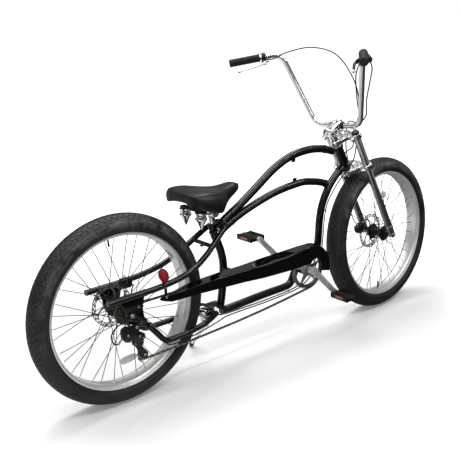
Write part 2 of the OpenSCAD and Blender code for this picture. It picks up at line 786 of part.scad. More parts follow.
// Handlebar made thicker by g where it is cut out of a neighbour
module bar_form(g) {
    rod(bl(B1[0], -1), bl(B1[0], 1), bar_r + g);
    for (s = [-1, 1]) {
        rod(bl(B1[6], s), bl(B2[0], s), bar_r + g);
        rod(bl(B2[7], s), bl(BAR_END, s), bar_r + g);
    }
}

module handlebar() {
    color(chrome) steered() {
        bar_form(0);
        for (s = [-1, 1]) {
            bent(B1, s);
            bent(B2, s);
        }
    }
}

module stem() {
    bm = loc(BAR_MID);
    color(chrome) steered() difference() {
        union() {
            translate([0, 0, crown_top_w + crown_t / 2 + touch]) cylinder(h = bm[2] - crown_top_w - 10, r = 20);
            hull() {
                translate([0, 0, bm[2] - 18]) cylinder(h = 30, r = 18, $fn = 24);
                translate([bm[0], 0, bm[2]]) ycyl(20, -24, 24, $fn = 24);
            }
        }
        translate([0, 0, 60]) cylinder(h = leg_top_w + touch - 60, r = 12.7 + touch);
        bar_form(touch);
    }
}

function grip_a(s) = loc([BAR_END[0], s * BAR_END[1], BAR_END[2]]);
function grip_d(s) = unit(loc([BAR_TOP[0], s * BAR_TOP[1], BAR_TOP[2]]) - grip_a(s));
module grip(s) {
    a = grip_a(s);
    d = grip_d(s);
    color(rubber) steered() difference() {
        rod(a - 5 * d, a + (grip_len - 5) * d, grip_r);
        bar_form(touch);
    }
}

module grip_left() {
    grip(1);
}

module grip_right() {
    grip(-1);
}

// Round clamp of a brake lever beside the grip, made thicker by g where it is cut out of a neighbour
module lever_clamp(s, g) {
    rod(grip_a(s) + (grip_len + 2 - g) * grip_d(s), grip_a(s) + (grip_len + 22 + g) * grip_d(s), 17 + g);
}

// Clamp with a bent lever held in front of the grip
module brake_lever(s) {
    a = grip_a(s);
    d = grip_d(s);
    f = unit(cross(d, [0, 0, 1])) * s;
    color(s > 0 ? chrome : black) steered() difference() {
        union() {
            lever_clamp(s, 0);
            sweep([a + 140 * d, a + 142 * d + f * 22 + [0, 0, -10], a + 120 * d + f * 38 + [0, 0, -16],
                a + 70 * d + f * 44 + [0, 0, -22], a + 14 * d + f * 48 + [0, 0, -26]], 5, 10);
        }
        bar_form(touch);
    }
}

module brake_lever_left() {
    brake_lever(1);
}

module brake_lever_right() {
    brake_lever(-1);
}

// Gear shifter beside the right lever: clamp and hanging body, thicker by g where it is cut out of a neighbour
module shift_pod(g) {
    a = grip_a(-1) + (grip_len + 34) * grip_d(-1);
    rod(a, a + [24, 0, -40] + g * [0.5, 0, -0.9], 13 + g);
}

module shifter() {
    a = grip_a(-1);
    d = grip_d(-1);
    color(black) steered() difference() {
        union() {
            rod(a + (grip_len + 24) * d, a + (grip_len + 44) * d, 18);
            shift_pod(0);
        }
        bar_form(touch);
        bent(B2, -1, touch);
    }
}

// Front caliper's body, made thicker by g where it is cut out of a neighbour
module front_caliper_form(g) {
    translate([axle_u - 78 - g, 37 - g, axle_w + 40 - g]) cube([44 + 2 * g, 26 + 2 * g, 40 + 2 * g]);
}

module front_caliper() {
    color(black) steered() difference() {
        union() {
            front_caliper_form(0);
            translate([axle_u - 40, 56, axle_w + 46]) cube([34, 7, 24]);
            translate([axle_u - 20, 56, axle_w + 46]) cube([22, 12, 24]);
        }
        translate([axle_u, 0, axle_w]) ycyl(rotor_r + 5, 46, 50 + 1);
        translate([leg_u, leg_y, axle_w]) cylinder(h = 100, r = leg_r + touch);
    }
}

FRONT_BAR = [[968, 222, 1158], [1010, 190, 1180], [1080, 110, 1196], [1122, 10, 1160], [1140, -66, 1050],
    [1150, -82, 940], [1160, -64, 884]];
FRONT_FORK = [[92, -22, 120], [90, 12, 60], [84, 40, -20], [82, 56, -90], [72, 84, -150], [56, 94.5, -200],
    [44, 94.5, -260], [20, 90, -320], [0, 70, -362], [-6, 58, -378]];
module front_brake_cable() {
    start = grip_a(1) + 146 * grip_d(1) - [0, 0, 14.5];
    color(black) steered() difference() {
        sweep(smooth(concat([start], [for (p = FRONT_BAR) loc(p)], FRONT_FORK), 3), 2.5, 8);
        lever_clamp(1, touch);
        front_caliper_form(touch);
    }
}

// Crank pieces about the crank axis

module chainring() {
    color(chrome) at_crank() translate([0, -chain_y, 0]) rotate([90, 0, 0]) {
        linear_extrude(height = 3, center = true) difference() {
            union() {
                difference() {
                    circle(r = ring_r, $fn = 84);
                    circle(r = ring_r - 14, $fn = 48);
                }
                for (i = [0 : 4]) rotate(72 * i) translate([0, -6]) square([ring_r - 8, 12]);
                circle(r = 26, $fn = 36);
            }
            circle(r = 12 + touch, $fn = 36);
        }
    }
}

module crank_set() {
    color(chrome) at_crank() rotate([0, crank_rest, 0]) {
        ycyl(spindle_r, -arm_y - 6, arm_y + 6);
        for (s = [-1, 1]) {
            hull() {
                translate([0, s * arm_y, 0]) ycyl(15, -6, 6, $fn = 24);
                translate([-s * crank_len, s * arm_y, 0]) ycyl(11, -6, 6, $fn = 24);
            }
            translate([-s * crank_len, s * (arm_y + 5 + pedal_hl), 0]) ycyl(pedal_pin_r, -pedal_hl - 5, pedal_hl + 5);
        }
    }
}

module pedal(s) {
    y0 = s > 0 ? arm_y + 12 : -arm_y - 12 - 2 * pedal_hl;
    color(rubber) at_crank() translate([-s * crank_len * cos(crank_rest), 0, s * crank_len * sin(crank_rest)])
        difference() {
            union() {
                difference() {
                    translate([-40, y0, -13]) cube([80, 2 * pedal_hl, 26]);
                    for (t = [-1, 1]) translate([t * 22 - 11, y0 + 10, -20]) cube([22, 2 * pedal_hl - 20, 40]);
                }
                ycyl(11, y0, y0 + 2 * pedal_hl);
            }
            ycyl(pedal_pin_r + fit, y0 - 1, y0 + 2 * pedal_hl + 1);
        }
}

module pedal_left() {
    pedal(1);
}

module pedal_right() {
    pedal(-1);
}

// Side stand: a leg on a tilted pivot, down to the foot at the left
PIV = [398, 44, 186];
foot_z = foot_y * tan(lean) - lift;
FOOT = [foot_x, foot_y, foot_z + 0.6 * stand_r];
FOLD = unit([-0.985, 0.17, -0.03]);
stand_ax = unit(cross(unit(FOOT - PIV), FOLD));

module side_stand() {
    color(chrome) placed() {
        rod(PIV - 28 * stand_ax, PIV + 22 * stand_ax, 6);
        rod(PIV - 31 * stand_ax, PIV - 15.5 * stand_ax, 13);
        rod(PIV - 24 * stand_ax, FOOT, stand_r);
    }
}

head_tube();
upper_tube();
lower_tube();
down_tube();
seat_tube();
boom_tube();
bb_shell();
seat_stay_left();
seat_stay_right();
stay_bridge();
chain_stay_left();
chain_stay_right();
dropout_left();
dropout_right();
rear_axle();
stay_arch();
stand_bracket();
chain_guard();
rear_reflector();
saddle();
saddle_frame();
seat_post();
derailleur();
chain();
rear_caliper();
gear_cable();
rear_brake_cable();
rear_tyre();
rear_rim();
rear_spokes();
rear_hub();
freewheel();
rear_rotor();
upper_crown();
lower_crown();
fork_leg_left();
fork_leg_right();
front_axle();
stem();
handlebar();
grip_left();
grip_right();
brake_lever_left();
brake_lever_right();
shifter();
front_caliper();
front_brake_cable();
front_tyre();
front_rim();
front_spokes();
front_hub();
front_rotor();
chainring();
crank_set();
pedal_left();
pedal_right();
side_stand();
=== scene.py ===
# Chopper bicycle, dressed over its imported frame. Lengths below are in millimetres of the bike's own
# upright frame (X forward, Y left, Z up, rear contact at the origin) and go to metres in one matrix.
import bpy, bmesh, math, random
from mathutils import Vector, Matrix, noise


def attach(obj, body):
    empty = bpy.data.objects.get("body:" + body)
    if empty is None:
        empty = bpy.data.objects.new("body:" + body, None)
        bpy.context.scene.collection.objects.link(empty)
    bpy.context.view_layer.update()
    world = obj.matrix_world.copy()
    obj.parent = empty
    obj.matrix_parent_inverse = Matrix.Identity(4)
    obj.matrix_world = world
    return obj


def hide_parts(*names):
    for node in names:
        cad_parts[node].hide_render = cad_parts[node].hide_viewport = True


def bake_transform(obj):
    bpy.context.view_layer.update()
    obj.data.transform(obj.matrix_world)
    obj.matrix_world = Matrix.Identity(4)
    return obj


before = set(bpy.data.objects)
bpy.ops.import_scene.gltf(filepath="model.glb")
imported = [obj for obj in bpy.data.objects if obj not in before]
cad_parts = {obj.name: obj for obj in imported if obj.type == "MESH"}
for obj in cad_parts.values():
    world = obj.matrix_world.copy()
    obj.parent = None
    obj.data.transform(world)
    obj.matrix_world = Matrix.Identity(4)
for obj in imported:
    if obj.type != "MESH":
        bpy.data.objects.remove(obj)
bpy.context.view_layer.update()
random.seed(4)
rad = math.radians

# Frames: the whole bike leans on its stand, the fork is turned a little to the left
LEAN, WB, MID_X, MID_Y, AXLE_Z = 2.25, 1392.0, 696.0, 40.0, 346.8
HEAD_X, HEAD_Z, TILT, TURN = WB - 264.0, 735.0, 28.0, 4.66
S = Matrix.Diagonal((0.001, 0.001, 0.001, 1.0))
BIKE = S @ Matrix.Translation((-MID_X, -MID_Y, 0)) @ Matrix.Rotation(rad(-LEAN), 4, "X")
HEAD = BIKE @ Matrix.Translation((HEAD_X, 0, HEAD_Z)) @ Matrix.Rotation(rad(-TILT), 4, "Y")
STEER = HEAD @ Matrix.Rotation(rad(TURN), 4, "Z")
CT, ST = math.cos(rad(TILT)), math.sin(rad(TILT))


def loc(p):
    x, z = p[0] - HEAD_X, p[2] - HEAD_Z
    return Vector((x * CT + z * ST, p[1], -x * ST + z * CT))


AXLE = loc((WB, 0, AXLE_Z))
REAR = BIKE @ Matrix.Translation((0, 0, AXLE_Z))
FRONT = STEER @ Matrix.Translation(AXLE)
CRANK_X, CRANK_Z, CRANK_L, CRANK_A, ARM_Y = 868.0, 305.0, 167.0, 45.0, 103.0
CRANK = BIKE @ Matrix.Translation((CRANK_X, 0, CRANK_Z))
V = Vector


def cr(p, i, t):
    a, b, c, d = (V(p[min(max(i + k, 0), len(p) - 1)]) for k in (-1, 0, 1, 2))
    return 0.5 * (2 * b + (c - a) * t + (2 * a - 5 * b + 4 * c - d) * t * t + (3 * b - a - 3 * c + d) * t ** 3)


def smooth(p, k):
    out = [cr(p, i, j / k) for i in range(len(p) - 1) for j in range(k)]
    return out + [V(p[-1])]


def flip(p, s):
    return [(q[0], q[1] * s, q[2]) for q in p]


# Materials
def mat(name, col, rough, metal=0.0, coat=0.0, scale=40.0, cvar=0.12, rvar=0.08, bump=0.15, grain=600.0,
        wear=None, stretch=(1, 1, 1), depth=0.0004, coatr=0.03, spec=0.5, alpha_tex=None):
    m = bpy.data.materials.new(name)
    m.use_nodes = True
    nt = m.node_tree
    b = nt.nodes["Principled BSDF"]
    N = nt.nodes.new
    tc = N("ShaderNodeTexCoord")
    mp = N("ShaderNodeMapping")
    mp.inputs["Scale"].default_value = stretch
    nt.links.new(tc.outputs["Object"], mp.inputs["Vector"])
    n1 = N("ShaderNodeTexNoise")
    n1.inputs["Scale"].default_value = scale
    n1.inputs["Detail"].default_value = 6
    nt.links.new(mp.outputs["Vector"], n1.inputs["Vector"])
    ramp = N("ShaderNodeValToRGB")
    ramp.color_ramp.elements[0].position = 0.3
    ramp.color_ramp.elements[1].position = 0.72
    ramp.color_ramp.elements[0].color = (*[c * (1 - cvar) for c in col], 1)
    ramp.color_ramp.elements[1].color = (*[min(1, c * (1 + cvar)) for c in col], 1)
    nt.links.new(n1.outputs["Fac"], ramp.inputs["Fac"])
    out = ramp.outputs["Color"]
    if wear:
        geo = N("ShaderNodeNewGeometry")
        wr = N("ShaderNodeValToRGB")
        wr.color_ramp.elements[0].position = wear[1]
        wr.color_ramp.elements[1].position = wear[1] + 0.12
        nt.links.new(geo.outputs["Pointiness"], wr.inputs["Fac"])
        mul = N("ShaderNodeMath")
        mul.operation = "MULTIPLY"
        nt.links.new(wr.outputs["Color"], mul.inputs[0])
        nt.links.new(n1.outputs["Fac"], mul.inputs[1])
        mx = N("ShaderNodeMixRGB")
        mx.inputs["Color2"].default_value = (*wear[0], 1)
        nt.links.new(mul.outputs[0], mx.inputs["Fac"])
        nt.links.new(out, mx.inputs["Color1"])
        out = mx.outputs["Color"]
    nt.links.new(out, b.inputs["Base Color"])
    n2 = N("ShaderNodeTexNoise")
    n2.inputs["Scale"].default_value = grain
    n2.inputs["Detail"].default_value = 4
    nt.links.new(mp.outputs["Vector"], n2.inputs["Vector"])
    mr = N("ShaderNodeMapRange")
    mr.inputs["To Min"].default_value = max(0.02, rough - rvar)
    mr.inputs["To Max"].default_value = min(1.0, rough + rvar)
    nt.links.new(n1.outputs["Fac"], mr.inputs["Value"])
    nt.links.new(mr.outputs["Result"], b.inputs["Roughness"])
    bp = N("ShaderNodeBump")
    bp.inputs["Strength"].default_value = bump
    bp.inputs["Distance"].default_value = depth
    nt.links.new(n2.outputs["Fac"], bp.inputs["Height"])
    nt.links.new(bp.outputs["Normal"], b.inputs["Normal"])
    b.inputs["Metallic"].default_value = metal
    b.inputs["Coat Weight"].default_value = coat
    b.inputs["Coat Roughness"].default_value = coatr
    b.inputs["Specular IOR Level"].default_value = spec
    m.diffuse_color = (*col, 1)
    return m


PAINT = mat("paint_gloss_black", (0.0016, 0.0016, 0.0018), 0.055, coat=0.0, spec=0.5, scale=22, rvar=0.02, bump=0.02, grain=900,
            wear=((0.02, 0.02, 0.02), 0.62), depth=0.0002)
CHROME = mat("chrome_plate", (0.94, 0.94, 0.94), 0.07, metal=1.0, scale=30, cvar=0.04, rvar=0.03, bump=0.012, grain=500,
             wear=((0.5, 0.49, 0.47), 0.6), depth=0.0002)
ALLOY = mat("rim_polished_alloy", (0.74, 0.735, 0.72), 0.3, metal=0.6, scale=26, cvar=0.05, rvar=0.06, bump=0.08,
            grain=420, stretch=(1, 1, 1), wear=((0.5, 0.5, 0.49), 0.6))
CRANKALU = mat("crank_alloy", (0.7, 0.71, 0.72), 0.26, metal=0.6, scale=45, cvar=0.06, bump=0.08, grain=500,
               wear=((0.85, 0.85, 0.84), 0.58))
STEEL = mat("spoke_steel", (0.07, 0.07, 0.07), 0.32, metal=1.0, scale=90, cvar=0.1, bump=0.05, grain=900)
ROTOR = mat("rotor_steel", (0.52, 0.52, 0.525), 0.3, metal=1.0, scale=60, cvar=0.08, bump=0.15, grain=800,
            stretch=(1, 1, 1), wear=((0.35, 0.34, 0.33), 0.56))
CHAIND = mat("chain_inner_steel", (0.02, 0.018, 0.016), 0.4, metal=0.5, scale=120, cvar=0.3, bump=0.2, grain=900)
CHAINM = mat("chain_oiled_steel", (0.26, 0.23, 0.2), 0.36, metal=0.9, scale=120, cvar=0.35, bump=0.2, grain=900,
             wear=((0.42, 0.4, 0.36), 0.55))
BLACKM = mat("black_metal", (0.007, 0.007, 0.0075), 0.28, metal=0.0, spec=0.35, scale=60, cvar=0.25, bump=0.18, grain=800,
             wear=((0.08, 0.08, 0.08), 0.62))
PLASTIC = mat("black_plastic", (0.009, 0.009, 0.0095), 0.42, spec=0.3, scale=70, cvar=0.2, bump=0.3, grain=1400,
              wear=((0.06, 0.06, 0.06), 0.6))
GRIP = mat("grip_rubber", (0.012, 0.012, 0.0125), 0.6, spec=0.25, scale=60, cvar=0.2, bump=0.4, grain=1200,
           wear=((0.05, 0.05, 0.05), 0.58))
CABLE = mat("cable_black", (0.008, 0.008, 0.008), 0.4, spec=0.3, scale=120, cvar=0.2, bump=0.15, grain=1200)
VINYL = mat("saddle_vinyl", (0.006, 0.006, 0.0068), 0.4, scale=18, cvar=0.25, rvar=0.06, bump=0.4, grain=1100,
            depth=0.0003, wear=((0.03, 0.03, 0.032), 0.6), spec=0.3)
TYREM = mat("tyre_rubber", (0.012, 0.013, 0.0145), 0.5, scale=9, cvar=0.4, rvar=0.12, bump=0.35, grain=700, spec=0.3,
            wear=((0.07, 0.07, 0.073), 0.54))
RED = mat("reflector_red", (0.5, 0.004, 0.006), 0.2, coat=0.25, spec=0.3, scale=300, cvar=0.35, bump=0.5, grain=420, depth=0.001)
AMBER = mat("reflector_amber", (0.36, 0.1, 0.012), 0.16, coat=0.7, scale=300, cvar=0.3, bump=0.5, grain=500, depth=0.001)
CLEAR = mat("reflector_clear", (0.72, 0.74, 0.78), 0.14, coat=0.6, scale=260, cvar=0.1, bump=0.4, grain=500, depth=0.001)
FORKM = mat("fork_dark_chrome", (0.54, 0.525, 0.5), 0.16, metal=1.0, scale=30, cvar=0.06, rvar=0.05, bump=0.05, grain=700,
            wear=((0.5, 0.49, 0.47), 0.6), depth=0.0002)
NIPPLE = mat("nipple_brass_plate", (0.7, 0.69, 0.66), 0.25, metal=1.0, scale=90, cvar=0.08, bump=0.05, grain=900)


# Grey bloom that rubber takes in a ring below the tread, broken up by noise, plus a painted sheen: the grey grows
# towards the top of the tyre
def bloom_and_top_sheen(base, name, centre):
    m = base.copy()
    m.name = name
    nt = m.node_tree
    N, L = nt.nodes.new, nt.links.new
    b = nt.nodes["Principled BSDF"]
    tc = N("ShaderNodeTexCoord")
    ds = N("ShaderNodeVectorMath")
    ds.operation = "DISTANCE"
    ds.inputs[1].default_value = centre
    L(tc.outputs["Object"], ds.inputs[0])
    rp = N("ShaderNodeValToRGB")
    e = rp.color_ramp.elements
    e[0].position, e[0].color = 0.303, (0, 0, 0, 1)
    e[1].position, e[1].color = 0.338, (0, 0, 0, 1)
    for pos in (0.315, 0.327):
        k = e.new(pos)
        k.color = (1, 1, 1, 1)
    L(ds.outputs["Value"], rp.inputs["Fac"])
    nz = N("ShaderNodeTexNoise")
    nz.inputs["Scale"].default_value = 16
    nz.inputs["Detail"].default_value = 7
    nz.inputs["Roughness"].default_value = 0.7
    L(tc.outputs["Object"], nz.inputs["Vector"])
    cut = N("ShaderNodeMapRange")
    for key, v in (("From Min", 0.42), ("From Max", 0.62), ("To Max", 0.6)):
        cut.inputs[key].default_value = v
    L(nz.outputs["Fac"], cut.inputs["Value"])
    ml = N("ShaderNodeMath")
    ml.operation = "MULTIPLY"
    L(rp.outputs["Color"], ml.inputs[0])
    L(cut.outputs["Result"], ml.inputs[1])
    sp = N("ShaderNodeSeparateXYZ")
    L(tc.outputs["Object"], sp.inputs[0])
    # Painted sheen: the grey is faint low on the tyre and full at its top
    hi = N("ShaderNodeMapRange")
    for key, v in (("From Min", centre[2] - 0.1), ("From Max", centre[2] + 0.26), ("To Min", 0.12)):
        hi.inputs[key].default_value = v
    L(sp.outputs["Z"], hi.inputs["Value"])
    m2 = N("ShaderNodeMath")
    m2.operation = "MULTIPLY"
    L(ml.outputs[0], m2.inputs[0])
    L(hi.outputs["Result"], m2.inputs[1])
    mx = N("ShaderNodeMixRGB")
    L(m2.outputs[0], mx.inputs["Fac"])
    L(b.inputs["Base Color"].links[0].from_socket, mx.inputs["Color1"])
    mx.inputs["Color2"].default_value = (0.17, 0.178, 0.185, 1)
    L(mx.outputs["Color"], b.inputs["Base Color"])
    return m


# Mesh building
class Geo:
    def __init__(self):
        self.v, self.f = [], []

    def add(self, vs, fs):
        n = len(self.v)
        self.v += [V(p) for p in vs]
        self.f += [[i + n for i in f] for f in fs]
        return self

    def tube(self, p, r, m=16, caps=True, radii=None, flat=1.0, updir=None):
        p = [V(q) for q in p]
        n = len(p)
        t = [(p[min(i + 1, n - 1)] - p[max(i - 1, 0)]).normalized() for i in range(n)]
        a = t[0].cross(V(updir or ((0, 1, 0) if abs(t[0].y) < 0.8 else (0, 0, 1)))).normalized()
        vs = []
        for i in range(n):
            a = (a - t[i] * a.dot(t[i])).normalized()
            b = t[i].cross(a)
            rr = radii[i] if radii else r
            for j in range(m):
                w = 2 * math.pi * j / m
                vs.append(p[i] + rr * (math.cos(w) * a + flat * math.sin(w) * b))
        fs = [[i * m + j, (i + 1) * m + j, (i + 1) * m + (j + 1) % m, i * m + (j + 1) % m]
              for i in range(n - 1) for j in range(m)]
        if caps:
            fs += [list(range(m)), [(n - 1) * m + j for j in range(m - 1, -1, -1)]]
        return self.add(vs, fs)

    def rod(self, a, b, r, m=16, r2=None):
        a, b = V(a), V(b)
        return self.tube([a, b], r, m, radii=[r, r if r2 is None else r2])

    def lathe(self, prof, m=64, at=(0, 0, 0), axis=(0, 1, 0), closed=False, start=0.0, xdir=None):
        ax = V(axis).normalized()
        x = V(xdir) if xdir else (V((1, 0, 0)) if abs(ax.x) < 0.8 else V((0, 0, 1)))
        x = (x - ax * x.dot(ax)).normalized()
        z = x.cross(ax)
        n = len(prof)
        vs = [V(at) + ax * y + r * (math.cos(start + 2 * math.pi * j / m) * x + math.sin(start + 2 * math.pi * j / m) * z)
              for r, y in prof for j in range(m)]
        rows = range(n if closed else n - 1)
        fs = [[i * m + j, i * m + (j + 1) % m, ((i + 1) % n) * m + (j + 1) % m, ((i + 1) % n) * m + j]
              for i in rows for j in range(m)]
        return self.add(vs, fs)

    def box(self, lo, hi, rot=None, at=(0, 0, 0)):
        c = [V((x, y, z)) for x in (lo[0], hi[0]) for y in (lo[1], hi[1]) for z in (lo[2], hi[2])]
        if rot is not None:
            c = [rot @ q for q in c]
        c = [q + V(at) for q in c]
        return self.add(c, [[0, 1, 3, 2], [4, 6, 7, 5], [0, 4, 5, 1], [2, 3, 7, 6], [0, 2, 6, 4], [1, 5, 7, 3]])

    def prism(self, outline, y0, y1, axis="y"):
        n = len(outline)
        vs = [V((p[0], y, p[1])) for y in (y0, y1) for p in outline]
        fs = [list(range(n)), [n + i for i in range(n - 1, -1, -1)]]
        fs += [[i, n + i, n + (i + 1) % n, (i + 1) % n] for i in range(n)]
        return self.add(vs, fs)

    def ring(self, outer, inner, y0, y1):
        n = len(outer)
        vs = [V((p[0], y, p[1])) for y in (y0, y1) for loop in (outer, inner) for p in loop]
        fs = []
        for i in range(n):
            j = (i + 1) % n
            fs += [[i, j, n + j, n + i], [2 * n + i, 3 * n + i, 3 * n + j, 2 * n + j],
                   [i, 2 * n + i, 2 * n + j, j], [n + i, n + j, 3 * n + j, 3 * n + i]]
        return self.add(vs, fs)

    def bolt(self, p, axis, r=4.0, h=3.0, m=6):
        ax = V(axis).normalized()
        return self.lathe([(0.01, h), (r * 0.85, h), (r, h * 0.7), (r, 0), (0.01, 0)], m, at=p, axis=ax)

    def socket(self, p, axis, r=4.0, h=4.0):
        return self.lathe([(0.01, h * 0.5), (r * 0.5, h * 0.5), (r * 0.5, h), (r * 0.85, h), (r, h * 0.8), (r, 0)],
                          18, at=p, axis=axis)

    def mesh(self, name, M):
        me = bpy.data.meshes.new(name)
        me.from_pydata([M @ q for q in self.v], [], self.f)
        me.validate()
        bm = bmesh.new()
        bm.from_mesh(me)
        bmesh.ops.remove_doubles(bm, verts=bm.verts, dist=1e-6)
        bmesh.ops.recalc_face_normals(bm, faces=bm.faces)
        bm.to_mesh(me)
        bm.free()
        return me


def piece(name, g, M, material, body, replaces=(), angle=35, bevel=0, segs=2, sub=0, pads=None):
    ob = bpy.data.objects.new(name, g.mesh(name, M))
    bpy.context.scene.collection.objects.link(ob)
    ob.data.materials.append(material)
    if bevel:
        md = ob.modifiers.new("bevel", "BEVEL")
        md.width, md.segments, md.limit_method = bevel * 0.001, segs, "ANGLE"
        md.angle_limit = rad(30)
        md.harden_normals = False
    if sub:
        md = ob.modifiers.new("sub", "SUBSURF")
        md.levels = md.render_levels = sub
    if ob.modifiers:
        dg = bpy.context.evaluated_depsgraph_get()
        me = bpy.data.meshes.new_from_object(ob.evaluated_get(dg))
        ob.modifiers.clear()
        ob.data = me
    for f in ob.data.polygons:
        f.use_smooth = True
    ob.data.set_sharp_from_angle(angle=rad(angle))
    if body:
        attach(ob, body)
    if replaces:
        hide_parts(*replaces)
    return ob


def spline(tab, x, col):
    # Smooth value of a table's column at x
    n = len(tab)
    i = max(0, min(n - 2, sum(1 for q in tab if q[0] <= x) - 1))
    t = (x - tab[i][0]) / (tab[i + 1][0] - tab[i][0])

    def slope(k):
        a, b = tab[max(0, k - 1)], tab[min(n - 1, k + 1)]
        return (b[col] - a[col]) / max(1e-6, b[0] - a[0])
    h = tab[i + 1][0] - tab[i][0]
    a, b = tab[i][col], tab[i + 1][col]
    return ((2 * t ** 3 - 3 * t * t + 1) * a + (t ** 3 - 2 * t * t + t) * h * slope(i)
            + (3 * t * t - 2 * t ** 3) * b + (t ** 3 - t * t) * h * slope(i + 1))


def circle(r, n, cx=0.0, cz=0.0, a0=0.0):
    return [(cx + r * math.cos(a0 + 2 * math.pi * i / n), cz + r * math.sin(a0 + 2 * math.pi * i / n)) for i in range(n)]


def toothed(teeth, root, tip, off=0.0):
    out = []
    for i in range(teeth):
        for k, rr in ((0.0, root), (0.28, root + 0.3), (0.42, tip), (0.58, tip), (0.72, root + 0.3), (0.9, root)):
            a = 2 * math.pi * (i + k + off) / teeth
            out.append((rr * math.cos(a), rr * math.sin(a)))
    return out


# Camera from the rim and tyre outlines of both wheels
def camera():
    cam = bpy.data.cameras.new("cam")
    cam.sensor_width = 36.0
    cam.lens = 59.145
    cam.clip_end = 60
    ob = bpy.data.objects.new("cam", cam)
    bpy.context.scene.collection.objects.link(ob)
    az, el = 0.8847, 0.3102
    d = V((math.cos(el) * math.cos(az), math.cos(el) * math.sin(az), -math.sin(el)))
    ob.location = (-1.2481 - MID_X / 1000, -2.1225 - MID_Y / 1000, 1.4230)
    ob.rotation_euler = d.to_track_quat("-Z", "Y").to_euler()
    bpy.context.scene.camera = ob


def lamp(name, at, to, size, power, sy=None, col=(1, 1, 1)):
    li = bpy.data.lights.new(name, "AREA")
    li.shape = "RECTANGLE"
    li.size, li.size_y = size, sy or size
    li.energy = power
    li.color = col
    ob = bpy.data.objects.new(name, li)
    bpy.context.scene.collection.objects.link(ob)
    ob.location = at
    ob.rotation_euler = (V(to) - V(at)).to_track_quat("-Z", "Y").to_euler()
    return ob


